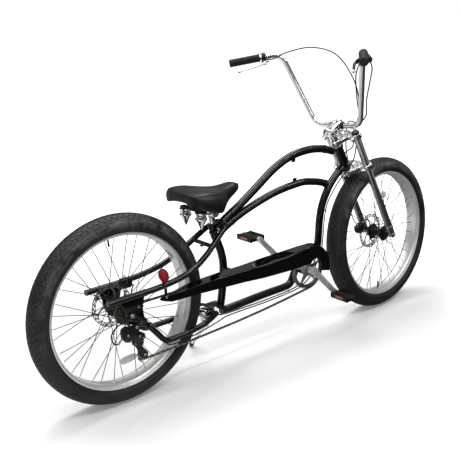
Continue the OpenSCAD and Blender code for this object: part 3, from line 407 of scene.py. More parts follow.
def studio():
    w = bpy.data.worlds.new("studio")
    bpy.context.scene.world = w
    w.use_nodes = True
    nt = w.node_tree
    for n in list(nt.nodes):
        nt.nodes.remove(n)
    N, L = nt.nodes.new, nt.links.new
    out = N("ShaderNodeOutputWorld")
    lp = N("ShaderNodeLightPath")
    add1 = N("ShaderNodeMath")
    add1.operation = "MAXIMUM"
    L(lp.outputs["Is Glossy Ray"], add1.inputs[0])
    L(lp.outputs["Is Transmission Ray"], add1.inputs[1])
    soft = N("ShaderNodeBackground")
    soft.inputs["Color"].default_value = (1, 1, 1, 1)
    soft.inputs["Strength"].default_value = 0.25
    room = N("ShaderNodeBackground")
    tc = N("ShaderNodeTexCoord")
    sep = N("ShaderNodeSeparateXYZ")
    L(tc.outputs["Generated"], sep.inputs[0])
    ramp = N("ShaderNodeValToRGB")
    els = ramp.color_ramp.elements
    els[0].position, els[0].color = 0.0, (0.9, 0.9, 0.9, 1)
    els[1].position, els[1].color = 1.0, (1.0, 1.0, 1.0, 1)
    for pos, c in ((0.49, 0.95), (0.505, 0.45), (0.55, 0.2), (0.72, 0.16), (0.85, 0.7)):
        e = els.new(pos)
        e.color = (c, c, c, 1)
    mr = N("ShaderNodeMapRange")
    mr.inputs["From Min"].default_value = -1
    L(sep.outputs["Z"], mr.inputs["Value"])
    L(mr.outputs["Result"], ramp.inputs["Fac"])
    L(ramp.outputs["Color"], room.inputs["Color"])
    white = N("ShaderNodeBackground")
    white.inputs["Color"].default_value = (1, 1, 1, 1)
    m1, m2 = N("ShaderNodeMixShader"), N("ShaderNodeMixShader")
    L(add1.outputs[0], m1.inputs[0])
    L(soft.outputs[0], m1.inputs[1])
    L(room.outputs[0], m1.inputs[2])
    L(lp.outputs["Is Camera Ray"], m2.inputs[0])
    L(m1.outputs[0], m2.inputs[1])
    L(white.outputs[0], m2.inputs[2])
    L(m2.outputs[0], out.inputs[0])
    g = Geo().add([(-30, -30, 0), (30, -30, 0), (30, 30, 0), (-30, 30, 0)], [[0, 1, 2, 3]])
    fl = bpy.data.objects.new("floor", g.mesh("floor", Matrix.Translation((0, 0, -0.0004))))
    bpy.context.scene.collection.objects.link(fl)
    m = bpy.data.materials.new("floor_white")
    m.use_nodes = True
    nt = m.node_tree
    for n in list(nt.nodes):
        nt.nodes.remove(n)
    N, L = nt.nodes.new, nt.links.new
    out = N("ShaderNodeOutputMaterial")
    df = N("ShaderNodeBsdfDiffuse")
    df.inputs["Color"].default_value = (0.9, 0.9, 0.9, 1)
    gp = N("ShaderNodeNewGeometry")
    # Painted reflection: to glossy rays only, the floor's colour falls from 0.8 on the camera's left to 0.05 on its
    # right, so metal and paint mirror a darker floor than the camera sees
    dt = N("ShaderNodeVectorMath")
    dt.operation = "DOT_PRODUCT"
    dt.inputs[1].default_value = (0.774, -0.633, 0)
    reflected_floor_shade = N("ShaderNodeMapRange")
    for k, v in (("From Min", -0.3), ("From Max", 0.6), ("To Min", 0.8), ("To Max", 0.05)):
        reflected_floor_shade.inputs[k].default_value = v
    L(gp.outputs["Position"], dt.inputs[0])
    L(dt.outputs["Value"], reflected_floor_shade.inputs["Value"])
    em = N("ShaderNodeEmission")
    em.inputs["Color"].default_value = (1, 1, 1, 1)
    lp = N("ShaderNodeLightPath")
    reflected_floor_tone = N("ShaderNodeMixRGB")
    reflected_floor_tone.inputs["Color1"].default_value = (0.9, 0.9, 0.9, 1)
    L(lp.outputs["Is Glossy Ray"], reflected_floor_tone.inputs["Fac"])
    L(reflected_floor_shade.outputs["Result"], reflected_floor_tone.inputs["Color2"])
    L(reflected_floor_tone.outputs["Color"], df.inputs["Color"])
    ml = N("ShaderNodeMath")
    ml.operation = "MULTIPLY"
    L(lp.outputs["Is Camera Ray"], ml.inputs[0])
    ln = N("ShaderNodeVectorMath")
    ln.operation = "LENGTH"
    edge = N("ShaderNodeMapRange")
    for k, v in (("From Min", 0.85), ("From Max", 1.9), ("To Min", 0.14), ("To Max", 0.9)):
        edge.inputs[k].default_value = v
    L(gp.outputs["Position"], ln.inputs[0])
    L(ln.outputs["Value"], edge.inputs["Value"])
    L(edge.outputs["Result"], ml.inputs[1])
    L(ml.outputs[0], em.inputs["Strength"])
    ad = N("ShaderNodeAddShader")
    L(df.outputs[0], ad.inputs[0])
    L(em.outputs[0], ad.inputs[1])
    L(ad.outputs[0], out.inputs[0])
    fl.data.materials.append(m)
    sun = bpy.data.lights.new("sun", "SUN")
    sun.energy, sun.angle = 0.45, rad(50)
    so = bpy.data.objects.new("sun", sun)
    bpy.context.scene.collection.objects.link(so)
    so.rotation_euler = (V((0, 0, 0)) - V((-0.5, 0.3, 1.1))).to_track_quat("-Z", "Y").to_euler()
    lamp("key", (-2.6, -1.2, 2.4), (0, 0, 0.3), 0.16, 7, 2.2)
    lamp("fill", (0.9, -3.2, 1.9), (0, 0, 0.4), 2.2, 7, 0.12)
    lamp("strip", (0.5, -1.3, 2.7), (0.5, 0, 0.4), 3.8, 32, 0.1)
    lamp("top", (-0.1, 0.75, 2.7), (0, 0.1, 0.3), 3.3, 50, 0.75)
    bpy.context.scene.view_settings.view_transform = "Standard"


camera()
studio()

# Frame tubes, along the same centre lines as the solids
UPPER = [(444, 0, 556), (492, 0, 589), (560, 0, 627), (649, 0, 684), (741, 0, 743), (835, 0, 780), (933, 0, 792),
         (1013, 0, 785), (1072, 0, 768)]
LOWER = [(458, 0, 538), (503, 0, 563), (560, 0, 589), (625, 0, 612), (692, 0, 632), (757, 0, 647), (827, 0, 657),
         (900, 0, 662), (954, 0, 655), (999, 0, 646), (1036, 0, 633)]
DOWN = [(1137, 0, 688), (1099, 0, 664), (1057, 0, 622), (1026, 0, 574), (1006, 0, 525), (996, 0, 470), (992, 0, 417),
        (985, 0, 371), (960, 0, 332), (915, 0, 309), (890, 0, 305)]
SEAT = [(423, 0, 574), (428, 0, 537), (445, 0, 498), (459, 0, 459), (468, 0, 415), (468, 0, 374), (463, 0, 322),
        (455, 0, 271), (447, 0, 231)]
BOOM = [(452, 0, 216), (545, 0, 220), (681, 0, 227), (790, 0, 230), (822, 0, 238), (840, 0, 262), (852, 0, 290)]
STAY_UP = [(-88, 75, 410), (-18, 76, 412), (59, 76, 415), (140, 77, 421), (223, 78, 435), (281, 76, 456),
           (341, 68, 490), (384, 58, 520), (421, 49, 546), (446, 40, 562), (462, 24, 573), (468, 10, 575)]
STAY_LOW = [(64, 75, 294), (99, 75, 254), (126, 75, 222), (152, 74, 209), (199, 73, 209), (248, 70, 211),
            (320, 60, 217), (372, 42, 222), (410, 24, 226)]


def weld(g, p, axis, r, h=5.0):
    """Bead of weld round a tube end."""
    n = 40
    prof = [(r - 1, -h), (r + 1.2, -h * 0.6), (r + 2.2, 0), (r + 1.2, h * 0.6), (r - 1, h)]
    m = len(g.v)
    g.lathe(prof, n, at=p, axis=axis)
    ax = V(axis).normalized()
    for i in range(m, len(g.v)):
        q = g.v[i] - V(p)
        side = q - ax * q.dot(ax)
        k = (i - m) % n
        g.v[i] += side.normalized() * (0.45 * math.sin(k * 2 * math.pi * 10 / n))


def tubes():
    for name, pts, k, r in (("upper_tube", UPPER, 6, 16), ("lower_tube", LOWER, 5, 15), ("down_tube", DOWN, 6, 16),
                            ("seat_tube", SEAT, 5, 15.5), ("boom_tube", BOOM, 6, 15.5)):
        g = Geo()
        p = smooth(pts, k)
        if name == "down_tube":
            p = [q for q in p if (q - V((1128, 0, 735))).length > 0][1:]
        g.tube(p, r, 28)
        if name == "upper_tube":
            weld(g, p[-6], p[-6] - p[-8], 16)
            g.box((-9, -2.5, -30), (9, 2.5, -12), at=(845, 0, 783))
            g.lathe([(0.01, -4), (4, -4), (4, 4), (0.01, 4)], 16, at=(845, 0, 758))
        if name == "lower_tube":
            g.box((-9, -2.5, 11), (9, 2.5, 27), at=(852, 0, 659))
            g.lathe([(0.01, -4), (4, -4), (4, 4), (0.01, 4)], 16, at=(852, 0, 681))
            weld(g, p[-2], p[-1] - p[-4], 15)
            weld(g, p[6], p[8] - p[4], 15)
        if name == "down_tube":
            weld(g, p[3], p[5] - p[2], 16)
            weld(g, p[-3], p[-1] - p[-3], 16)
        if name == "seat_tube":
            weld(g, p[4], p[6] - p[3], 15.5)
            g.lathe([(15.5, -6), (19, -5), (19, 9), (16, 10)], 32, at=(423, 0, 570), axis=(-0.1, 0, 1))
            g.rod((441, -10, 572), (441, 10, 572), 4, 16)
        if name == "boom_tube":
            weld(g, (469, 0, 217), (1, 0, 0.04), 15.5)
        piece(name + "_smooth", g, BIKE, PAINT, "frame", [name])
    for s, w in ((1, "left"), (-1, "right")):
        g = Geo().tube(smooth(flip(STAY_UP, s), 6), 11, 24)
        weld(g, (60, s * 76, 415), (1, 0, 0.08), 11, 4)
        piece("seat_stay_smooth_" + w, g, BIKE, PAINT, "frame", ["seat_stay_" + w])
        g = Geo().tube(smooth(flip(STAY_LOW, s), 6), 11, 24)
        weld(g, (68, s * 75, 289), (-35, 0, 40), 11, 4)
        piece("chain_stay_smooth_" + w, g, BIKE, PAINT, "frame", ["chain_stay_" + w])
        y0, y1 = (72, 78) if s > 0 else (-78, -72)
        out = [(-40, 404), (57, 404), (50, 380), (47, 361), (52, 330), (66, 306), (56, 288), (30, 300), (10, 309),
               (-14, 318), (-22, 340), (-26, 370)]
        g = Geo().prism(out, y0, y1)
        piece("dropout_plate_" + w, g, BIKE, PAINT, "frame", ["dropout_" + w], bevel=1.2)
        g = Geo()
        for x, z in ((36, 312), (30, 372)):
            g.bolt((x, s * 78, z), (0, s, 0), 6, 4)
        piece("dropout_bolts_" + w, g, BIKE, ROTOR, "frame")
    g = Geo()
    g.rod((372, -64, 512), (372, 64, 512), 8, 24)
    g.box((362, -6, 500), (384, 6, 504))
    piece("stay_bridge_smooth", g, BIKE, PAINT, "frame", ["stay_bridge"], bevel=0.8)
    g = Geo().tube(smooth([(372, 43, 232), (374, 40, 246), (378, 28, 255), (380, 10, 258), (380, -10, 258),
                           (378, -28, 255), (374, -40, 246), (372, -43, 232)], 5), 6, 20)
    g.box((378, -24, 252), (442, 24, 257))
    piece("stay_arch_smooth", g, BIKE, PAINT, "frame", ["stay_arch"], bevel=1)
    # Head tube with its cups and the bearing races in chrome
    g = Geo().lathe([(13, -60), (24, -60), (25, -58), (25, -49), (21, -46), (21, 46), (25, 49), (25, 58), (24, 60),
                     (13, 60)], 48, axis=(0, 0, 1))
    piece("head_tube_smooth", g, HEAD, PAINT, "frame", ["head_tube"])
    g = Geo()
    for z, s in ((60, 1), (-60, -1)):
        g.lathe([(14, 0), (24.5, 0), (25, s * 3), (22, s * 8), (14, s * 9.5)], 48, at=(0, 0, z), axis=(0, 0, 1))
    piece("headset_races", g, HEAD, CHROME, "frame")
    g = Geo().lathe([(13, -42), (24, -42), (25, -40.5), (25, 40.5), (24, 42), (13, 42)], 48)
    piece("bb_shell_smooth", g, CRANK, PAINT, "frame", ["bb_shell"])
    g = Geo()
    for s in (-1, 1):
        g.lathe([(13, s * 43), (20, s * 43), (22.5, s * 44.5), (22.5, s * 42), (13, s * 42)], 40)
    piece("bb_cups", g, CRANK, ROTOR, "frame")


# Wheels
TYRE_OUT = [(278.2, 32.2), (285.9, 33.4), (286.6, 37.5), (294, 43.4), (304, 46), (314, 45.5), (324, 41.5),
            (333, 34.5), (340, 26), (344.6, 16), (346.6, 6), (346.8, 0)]


def crown_r(y):
    y = abs(y)
    pts = [(b, a) for a, b in TYRE_OUT[4:]][::-1]
    for (y0, r0), (y1, r1) in zip(pts, pts[1:]):
        if y <= y1:
            t = (y - y0) / (y1 - y0)
            return r0 + (r1 - r0) * t
    return pts[-1][1]


def tyre(name, M, body):
    side = [(278.2, 32.2), (284.5, 33.2), (286.6, 36.4), (288, 39.4), (289.4, 40.2), (290.2, 39.6), (293, 42.6),
            (296.4, 44.6), (297.2, 45.4), (298.4, 45.6), (299.2, 45.0), (304, 45.9), (311, 45.8), (316, 44.9),
            (317, 45.4), (318.4, 45.1), (319.2, 44.0), (321.4, 43.1), (322.4, 43.3), (323.4, 42.6), (324.2, 41.4),
            (329, 37.8), (330.2, 37.6), (331.2, 35.9)]
    top = []
    y = 34.0
    while y > 0:
        top.append((crown_r(y) - 2.6, y))
        y -= 3.4
    half = side + top
    outer = half + [(top[-1][0] + 0.05, 0)] + [(r, -y) for r, y in half[::-1]]
    inner = [(278.2, -28), (286, -29.2), (295, -38.4), (304, -41.6), (314, -41.2), (330, -31.4), (340, -14.6),
             (342, 0), (340, 14.6), (330, 31.4), (314, 41.2), (304, 41.6), (295, 38.4), (286, 29.2), (278.2, 28)]
    g = Geo().lathe(outer + inner, 200, closed=True)
    # Tread: rows of small blocks with a chain of longer ones at the shoulder
    n = 92

    def block(a0, a1, y0, y1, lift=0.0, skew=0.0):
        vs, fs = [], []
        ny = 3
        for up in (0, 1):
            for i, a in enumerate((a0, a1)):
                for k in range(ny + 1):
                    yy = y0 + (y1 - y0) * k / ny
                    r = crown_r(yy) - (3.2 if not up else 0.15 - lift)
                    aa = a + skew * (yy - y0) / (abs(y1 - y0) + 1e-6)
                    if up:
                        aa += (0.0007 if i == 0 else -0.0007)
                        yy += (0.35 if k == 0 else -0.35 if k == ny else 0) * (1 if y1 > y0 else -1)
                    vs.append((r * math.cos(aa), yy, r * math.sin(aa)))
        m = ny + 1
        for k in range(ny):
            fs.append([2 * m + k, 2 * m + k + 1, 3 * m + k + 1, 3 * m + k])
            fs.append([k, k + 1, 2 * m + k + 1, 2 * m + k])
            fs.append([m + k, 3 * m + k, 3 * m + k + 1, m + k + 1])
        fs.append([0, 2 * m, 3 * m, m])
        fs.append([m - 1, 2 * m - 1, 4 * m - 1, 3 * m - 1])
        g.add(vs, fs)
    st = 2 * math.pi / n
    for i in range(n):
        a = i * st
        block(a + st * 0.04, a + st * 0.8, -4.6, 4.6, skew=st * 0.1)
        for s in (-1, 1):
            block(a + st * 0.5, a + st * 1.28, s * 6.6, s * 14.6, skew=st * 0.16 * s)
            block(a + st * 0.02, a + st * 0.8, s * 16.6, s * 24.4, skew=-st * 0.14 * s)
            block(a + st * 0.5, a + st * 1.26, s * 26.2, s * 35.2, skew=st * 0.1)
            block(a + st * 0.0, a + st * 0.34, s * 37.0, s * 40.2)
            block(a + st * 0.5, a + st * 0.84, s * 37.0, s * 40.8)
    ob = piece(name + "_treaded", g, M, TYREM, body, [name], angle=30)
    ob.data.materials[0] = bloom_and_top_sheen(TYREM, name + "_rubber", ob.matrix_world.inverted() @ M.translation)


def wheel(side, M, body, fy, valve):
    tyre(side + "_tyre", M, body)
    half = [(273.2, 0), (273.4, 8), (272.6, 14), (271.2, 19.4), (271, 20.6), (272.2, 24), (274.4, 30.4),
            (276.6, 31.6), (279.5, 33.0), (280.6, 35.6), (283.4, 36), (285.2, 35.6), (285.5, 34.6), (284.8, 33.8)]
    back = [(278.6, 32.0), (277.4, 31.2), (276.8, 24), (276, 12), (275.8, 0)]
    outer = half + back
    loop = outer + [(r, -y) for r, y in outer[::-1]][1:-1]
    g = Geo().lathe(loop, 220, closed=True)
    piece(side + "_rim_polished", g, M, ALLOY, body, [side + "_rim"], angle=40)
    g, gn, gv = Geo(), Geo(), Geo()
    for s in (-1, 1):
        for i in range(18):
            a = rad(20 * i + (10 if s > 0 else 0))
            d = rad(62 if i % 2 == 0 else -62)
            hub = V((31 * math.cos(a + d), s * (fy + (2.2 if i % 4 < 2 else -2.2)), 31 * math.sin(a + d)))
            rim = V((270.4 * math.cos(a), s * 6, 270.4 * math.sin(a)))
            u = (rim - hub).normalized()
            mid = hub.lerp(rim, 0.55)
            g.tube([hub - V((0, s * (3.4 if i % 4 < 2 else -3.4), 0)), hub, hub + u * 3, mid, rim], 1.35, 8)
            g.lathe([(0.01, 0), (1.9, 0.2), (2.1, 1.2), (1.2, 1.8)], 10,
                    at=hub - V((0, s * (4.0 if i % 4 < 2 else -4.0), 0)), axis=(0, s if i % 4 < 2 else -s, 0))
            gn.tube([rim - u * 11, rim - u * 2.4, rim - u * 2.0, rim + u * 2.4], 2, 8, radii=[1.5, 1.75, 2.7, 2.7])
    piece(side + "_spokes_laced", g, M, STEEL, body, [side + "_spokes"], angle=60)
    piece(side + "_nipples", gn, M, NIPPLE, body, angle=40)
    # Hub shell with its flanges
    hl = 64 if side == "rear" else 56
    prof = [(5.2, -hl), (9, -hl), (11, -hl + 3), (15.5, -hl + 3.4), (16, -hl + 6), (16, -fy - 6), (20, -fy - 4.4),
            (34, -fy - 2.4), (35.5, -fy - 1.4), (35.5, -fy + 1.4), (34, -fy + 2.4), (21, -fy + 4.6), (17.6, -fy + 10)]
    g = Geo().lathe(prof + [(r, -y) for r, y in prof[::-1]], 56)
    piece(side + "_hub_shell", g, M, BLACKM, body, [side + "_hub"], angle=32)
    # Valve
    a = rad(valve)
    d = V((math.cos(a), 0, math.sin(a)))
    gv.tube([d * 272, d * 262, d * 250, d * 249, d * 238], 3, 12, radii=[4.4, 3.4, 3.0, 3.8, 3.6])
    piece(side + "_valve", gv, M, CABLE, body)


def rotor(name, M, y, body):
    g = Geo()
    n = 72
    rings = [(64, 66.4), (66.4, 70.2), (70.2, 72.4), (72.4, 76.2), (76.2, 80)]
    hole = lambda k, i: (k == 1 and i % 3 != 0) or (k == 3 and (i + 1) % 3 != 0)
    grid = {}

    def vid(k, i, up):
        key = (k, i % n, up)
        if key not in grid:
            r = (64, 66.4, 70.2, 72.4, 76.2, 80)[k]
            r += 0.9 * math.sin(6 * 2 * math.pi * i / n) if k == 5 else 0
            w = 2 * math.pi * (i % n) / n
            g.v.append(V((r * math.cos(w), y + up, r * math.sin(w))))
            grid[key] = len(g.v) - 1
        return grid[key]
    for k in range(5):
        for i in range(n):
            if hole(k, i):
                continue
            q = [(k, i), (k + 1, i), (k + 1, i + 1), (k, i + 1)]
            g.f.append([vid(a, b, 0.9) for a, b in q])
            g.f.append([vid(a, b, -0.9) for a, b in q[::-1]])
            for (a0, b0), (a1, b1), other in ((q[0], q[1], (k, i - 1)), (q[2], q[3], (k, i + 1)),
                                              (q[1], q[2], (k + 1, i)), (q[3], q[0], (k - 1, i))):
                if not 0 <= other[0] < 5 or hole(other[0], other[1] % n):
                    g.f.append([vid(a0, b0, 0.9), vid(a0, b0, -0.9), vid(a1, b1, -0.9), vid(a1, b1, 0.9)])
    piece(name + "_braking_ring", g, M, ROTOR, body, [name], angle=30)
    g = Geo()
    for i in range(6):
        a = rad(60 * i)
        pts = [(22 + 44 * t / 8, a + 0.5 * (t / 8) ** 1.6) for t in range(9)]
        lo, hi = [], []
        for k, (r, w) in enumerate(pts):
            h = 5.5 - 2.2 * math.sin(math.pi * k / 8)
            lo.append((r * math.cos(w) - h * -math.sin(w), r * math.sin(w) - h * math.cos(w)))
            hi.append((r * math.cos(w) + h * -math.sin(w), r * math.sin(w) + h * math.cos(w)))
        g.prism(lo + hi[::-1], y - 0.9, y + 0.9)
        w = a + 0.1
        g.socket((21 * math.cos(w), y + 0.9, 21 * math.sin(w)), (0, 1, 0), 3.6, 2.4)
    g.ring(circle(25, 48), circle(16.2, 48), y - 1, y + 1)
    piece(name + "_spider", g, M, ROTOR, body, angle=30)


def axle(name, M, y, hl, body):
    g = Geo()
    g.rod((0, -hl, 0), (0, hl, 0), 5, 24)
    for i in range(5):
        for s in (-1, 1):
            g.lathe([(5, -0.6), (5.35, 0), (5, 0.6)], 20, at=(0, s * (hl - 1 - i * 1.0), 0))
    for s in (-1, 1):
        g.lathe([(5, 0), (11, 0), (11, 1.6), (5, 1.6)], 32, at=(0, s * (y - 4.4), 0), axis=(0, s, 0))
        g.lathe([(5, 1.6), (8.4, 1.6), (9.3, 2.6), (9.3, 7.6), (8.2, 8.8), (5, 8.8)], 6, at=(0, s * (y - 4.4), 0),
                axis=(0, s, 0), start=0.3)
    piece(name + "_nuts", g, M, ROTOR, body, [name], angle=25)


def freewheel():
    g = Geo()
    for i, (n, r) in enumerate(((12, 21.0), (14, 26.5), (17, 31.5), (19, 36.5), (22, 41.5), (25, 46.5))):
        y = -56.5 + i * 4
        t = toothed(n, r - 3.4, r + 1.4)
        g.ring(t, circle(16.1 if r < 30 else r - 9, len(t)), y - 0.9, y + 0.9)
        if r >= 30:
            for k in range(5):
                a = rad(72 * k + 9 * i)
                g.box((14, -0.9, -4.5), (r - 8, 0.9, 4.5), rot=Matrix.Rotation(a, 3, "Y"), at=(0, y, 0))
        g.ring(circle(19.5, 36), circle(16.1, 36), y - 1, y + 3)
    g.lathe([(8, -60.2), (14, -60.2), (15.4, -59), (15.4, -57)], 24)
    piece("freewheel_cogs", g, REAR, CHAINM, "rear_wheel", ["freewheel"], angle=30)


def reflector(name, M, r, a, tilt, body, half=(13, 37)):
    """Clear reflector clipped between two spokes."""
    w = rad(a)
    d = V((math.cos(w), 0, math.sin(w)))
    t = V((-math.sin(w), 0, math.cos(w)))
    at = d * r
    R = Matrix((d, V((0, 1, 0)), t)).transposed()
    out = []
    for i in range(28):
        q = 2 * math.pi * i / 28
        c, s = math.cos(q), math.sin(q)
        out.append((half[0] * (abs(c) ** 0.8) * (1 if c > 0 else -1), half[1] * (abs(s) ** 0.85) * (1 if s > 0 else -1)))
    g = Geo().prism(out, -4, 4)
    g.v = [R @ v + at + V((0, tilt, 0)) for v in g.v]
    piece(name + "_spoke_reflector", g, M, CLEAR, body, bevel=1.6)


tubes()
wheel("rear", REAR, "rear_wheel", 31, 96)
wheel("front", FRONT, "front_wheel", 31, -119)
rotor("rear_rotor", REAR, 56, "rear_wheel")
rotor("front_rotor", FRONT, 48, "front_wheel")
axle("rear_axle", REAR, 82.5, 92, "frame")
axle("front_axle", FRONT, 84, 92, "fork")
freewheel()


# Chain route, as in the solid: [x, z] in its own plane
def arc(c, r, a, b, k):
    return [V((c[0] + r * math.cos(rad(a + (b - a) * i / k)), c[1] + r * math.sin(rad(a + (b - a) * i / k)))) for i in range(k + 1)]


GUIDE, TENSION, CHAIN_Y = (22, 238), (50, 182), 58
ROUTE = (arc((0, AXLE_Z), 27, 91, 217, 14) + arc(GUIDE, 21, 37, -16, 7) + arc(TENSION, 21, 164, 271, 10)
         + [V(q) for q in ((160, 164), (277, 169), (476, 180), (627, 192), (729, 203))]
         + arc((CRANK_X, CRANK_Z), 85, -83, 91, 30))


def chain():
    seg = [(ROUTE[(i + 1) % len(ROUTE)] - ROUTE[i]).length for i in range(len(ROUTE))]
    total = sum(seg)
    n = 2 * round(total / 12.7 / 2)
    pins = []
    for i in range(n):
        d, k = total * i / n, 0
        while d > seg[k]:
            d -= seg[k]
            k += 1
        pins.append(ROUTE[k].lerp(ROUTE[(k + 1) % len(ROUTE)], d / seg[k]))
    links = (Geo(), Geo())
    for i in range(n):
        a, b = pins[i], pins[(i + 1) % n]
        u = (b - a).normalized()
        v = V((-u.y, u.x))
        wide = i % 2 == 0
        g = links[0 if wide else 1]
        out = []
        for j in range(7):
            t = rad(90 + 180 * j / 6)
            out.append(a + u * 4.1 * math.cos(t) + v * 4.1 * math.sin(t))
        out.append((a + b) / 2 - v * 2.7)
        for j in range(7):
            t = rad(-90 + 180 * j / 6)
            out.append(b + u * 4.1 * math.cos(t) + v * 4.1 * math.sin(t))
        out.append((a + b) / 2 + v * 2.7)
        y = 3.1 if wide else 2.1
        for s in (-1, 1):
            g.prism([(q.x, q.y) for q in out], -CHAIN_Y + s * y - 0.45, -CHAIN_Y + s * y + 0.45)
        g.lathe([(3.6, -1.7), (3.6, 1.7)], 10, at=(a.x, -CHAIN_Y, a.y))
        g.lathe([(0.01, -3.9), (1.7, -3.9), (1.7, 3.9), (0.01, 3.9)], 8, at=(a.x, -CHAIN_Y, a.y))
    piece("chain_links", links[0], BIKE, CHAINM, "frame", ["chain"], angle=30)
    piece("chain_inner_links", links[1], BIKE, CHAIND, "frame", angle=30)


def pulley(g, c, y):
    t = toothed(11, 15.2, 18.6)
    g.ring(t, circle(7, len(t)), y - 1.1, y + 1.1)
    g.ring(circle(9, 30), circle(4, 30), y - 2.6, y + 2.6)
    g.v[-120 - 4 * len(t):] = [v + V((c[0], 0, c[1])) for v in g.v[-120 - 4 * len(t):]]


def derailleur():
    g = Geo()
    pulley(g, GUIDE, -CHAIN_Y)
    pulley(g, TENSION, -CHAIN_Y)
    piece("derailleur_pulleys", g, BIKE, PLASTIC, "frame", angle=30)

    def plate(y0, y1, r0, r1, bulge):
        d = (V(TENSION) - V(GUIDE)).normalized()
        nrm = V((d.y, -d.x))
        out = []
        for k in range(13):
            t = math.pi / 2 + math.pi * k / 12
            out.append(V(GUIDE) + r0 * (math.cos(t) * d + math.sin(t) * nrm))
        out.append((V(GUIDE) + V(TENSION)) / 2 - nrm * (r0 - bulge))
        for k in range(13):
            t = -math.pi / 2 + math.pi * k / 12
            out.append(V(TENSION) + r1 * (math.cos(t) * d + math.sin(t) * nrm))
        out.append((V(GUIDE) + V(TENSION)) / 2 + nrm * (r0 - bulge))
        return [(q.x, q.y) for q in out]
    g = Geo()
    g.prism(plate(0, 0, 13, 15, 4), -68.6, -66.4)
    g.prism(plate(0, 0, 12, 14, 3), -52.2, -50.4)
    # Parallelogram body: knuckle at the hanger, two links and the lower knuckle
    g.lathe([(0.01, -92), (8, -92), (11, -90), (11, -79), (0.01, -79)], 32, at=(10, 0, 306))
    up = [(-52, 300), (-48, 312), (-34, 318), (-14, 312), (18, 318), (24, 308), (20, 292), (4, 274), (-20, 258),
          (-38, 262), (-50, 280)]
    g.prism(up, -93, -80)
    lo = [(-36, 296), (-20, 300), (22, 288), (38, 276), (40, 262), (30, 250), (12, 248), (-22, 268)]
    g.prism(lo, -97, -93)
    piece("derailleur_body", g, BIKE, BLACKM, "frame", ["derailleur"], angle=34, bevel=1.8, segs=3)
    g = Geo()
    g.lathe([(0.01, -91), (12, -91), (15, -88), (15.5, -72), (13.5, -69), (0.01, -69)], 32, at=(22, 0, 243))
    g.lathe([(0.01, -97), (6, -97), (8, -94), (8, -88)], 24, at=(30, 0, 262))
    piece("derailleur_knuckle", g, BIKE, BLACKM, "frame", angle=34)
    g = Geo()
    for p, y, r in (((10, 306), -92, 6), ((-30, 286), -97, 4.4), ((16, 272), -97, 4.4), ((30, 262), -97, 3),
                    (TENSION, -68.6, 4.6), ((33, 163), -69, 5), (GUIDE, -69, 3)):
        g.socket((p[0], y, p[1]), (0, -1, 0), r, 3)
    g.rod((33, -69, 163), (33, -50, 163), 3.2, 14)
    g.tube(smooth([(-14, -86, 256), (-24, -90, 262), (-40, -92, 272), (-52, -88, 274)], 4), 1.2, 8)
    g.rod((-60, -86, 266), (-48, -86, 278), 3.6, 14)
    g.lathe([(0.01, 0), (5, 0), (5, 3), (0.01, 3)], 14, at=(-64, -86, 262), axis=(0.7, 0, 0.7))
    piece("derailleur_screws", g, BIKE, ROTOR, "frame", angle=30)


def chainring():
    g = Geo()
    t = toothed(42, 79.6, 85.6)
    g.ring(t, circle(67, len(t)), -1.1, 1.1)
    g.ring(circle(73, 96), circle(66.5, 96), -3.4, 2.2)
    for i in range(5):
        a = rad(72 * i + 20)
        out = []
        for k in range(9):
            f = k / 8
            r, h = 24 + 44 * f, 10 - 6.5 * math.sin(math.pi * min(1, f * 0.9) / 1.6)
            out.append((r, h))
        poly = [(r, -h) for r, h in out] + [(r, h) for r, h in out[::-1]]
        c, s = math.cos(a), math.sin(a)
        g.prism([(r * c - h * s, r * s + h * c) for r, h in poly], -4.5, 1.5)
    g.ring(circle(28, 60), circle(13, 60), -5.5, 3)
    piece("chainring_teeth", g, CRANK @ Matrix.Translation((0, -CHAIN_Y, 0)), ROTOR, "crank",
          ["chainring"], angle=32)
    g = Geo()
    for i in range(5):
        a = rad(72 * i + 20)
        g.socket((62 * math.cos(a), -CHAIN_Y - 4.6, 62 * math.sin(a)), (0, -1, 0), 4.6, 2.4)
    piece("chainring_bolts", g, CRANK, ROTOR, "crank", angle=30)


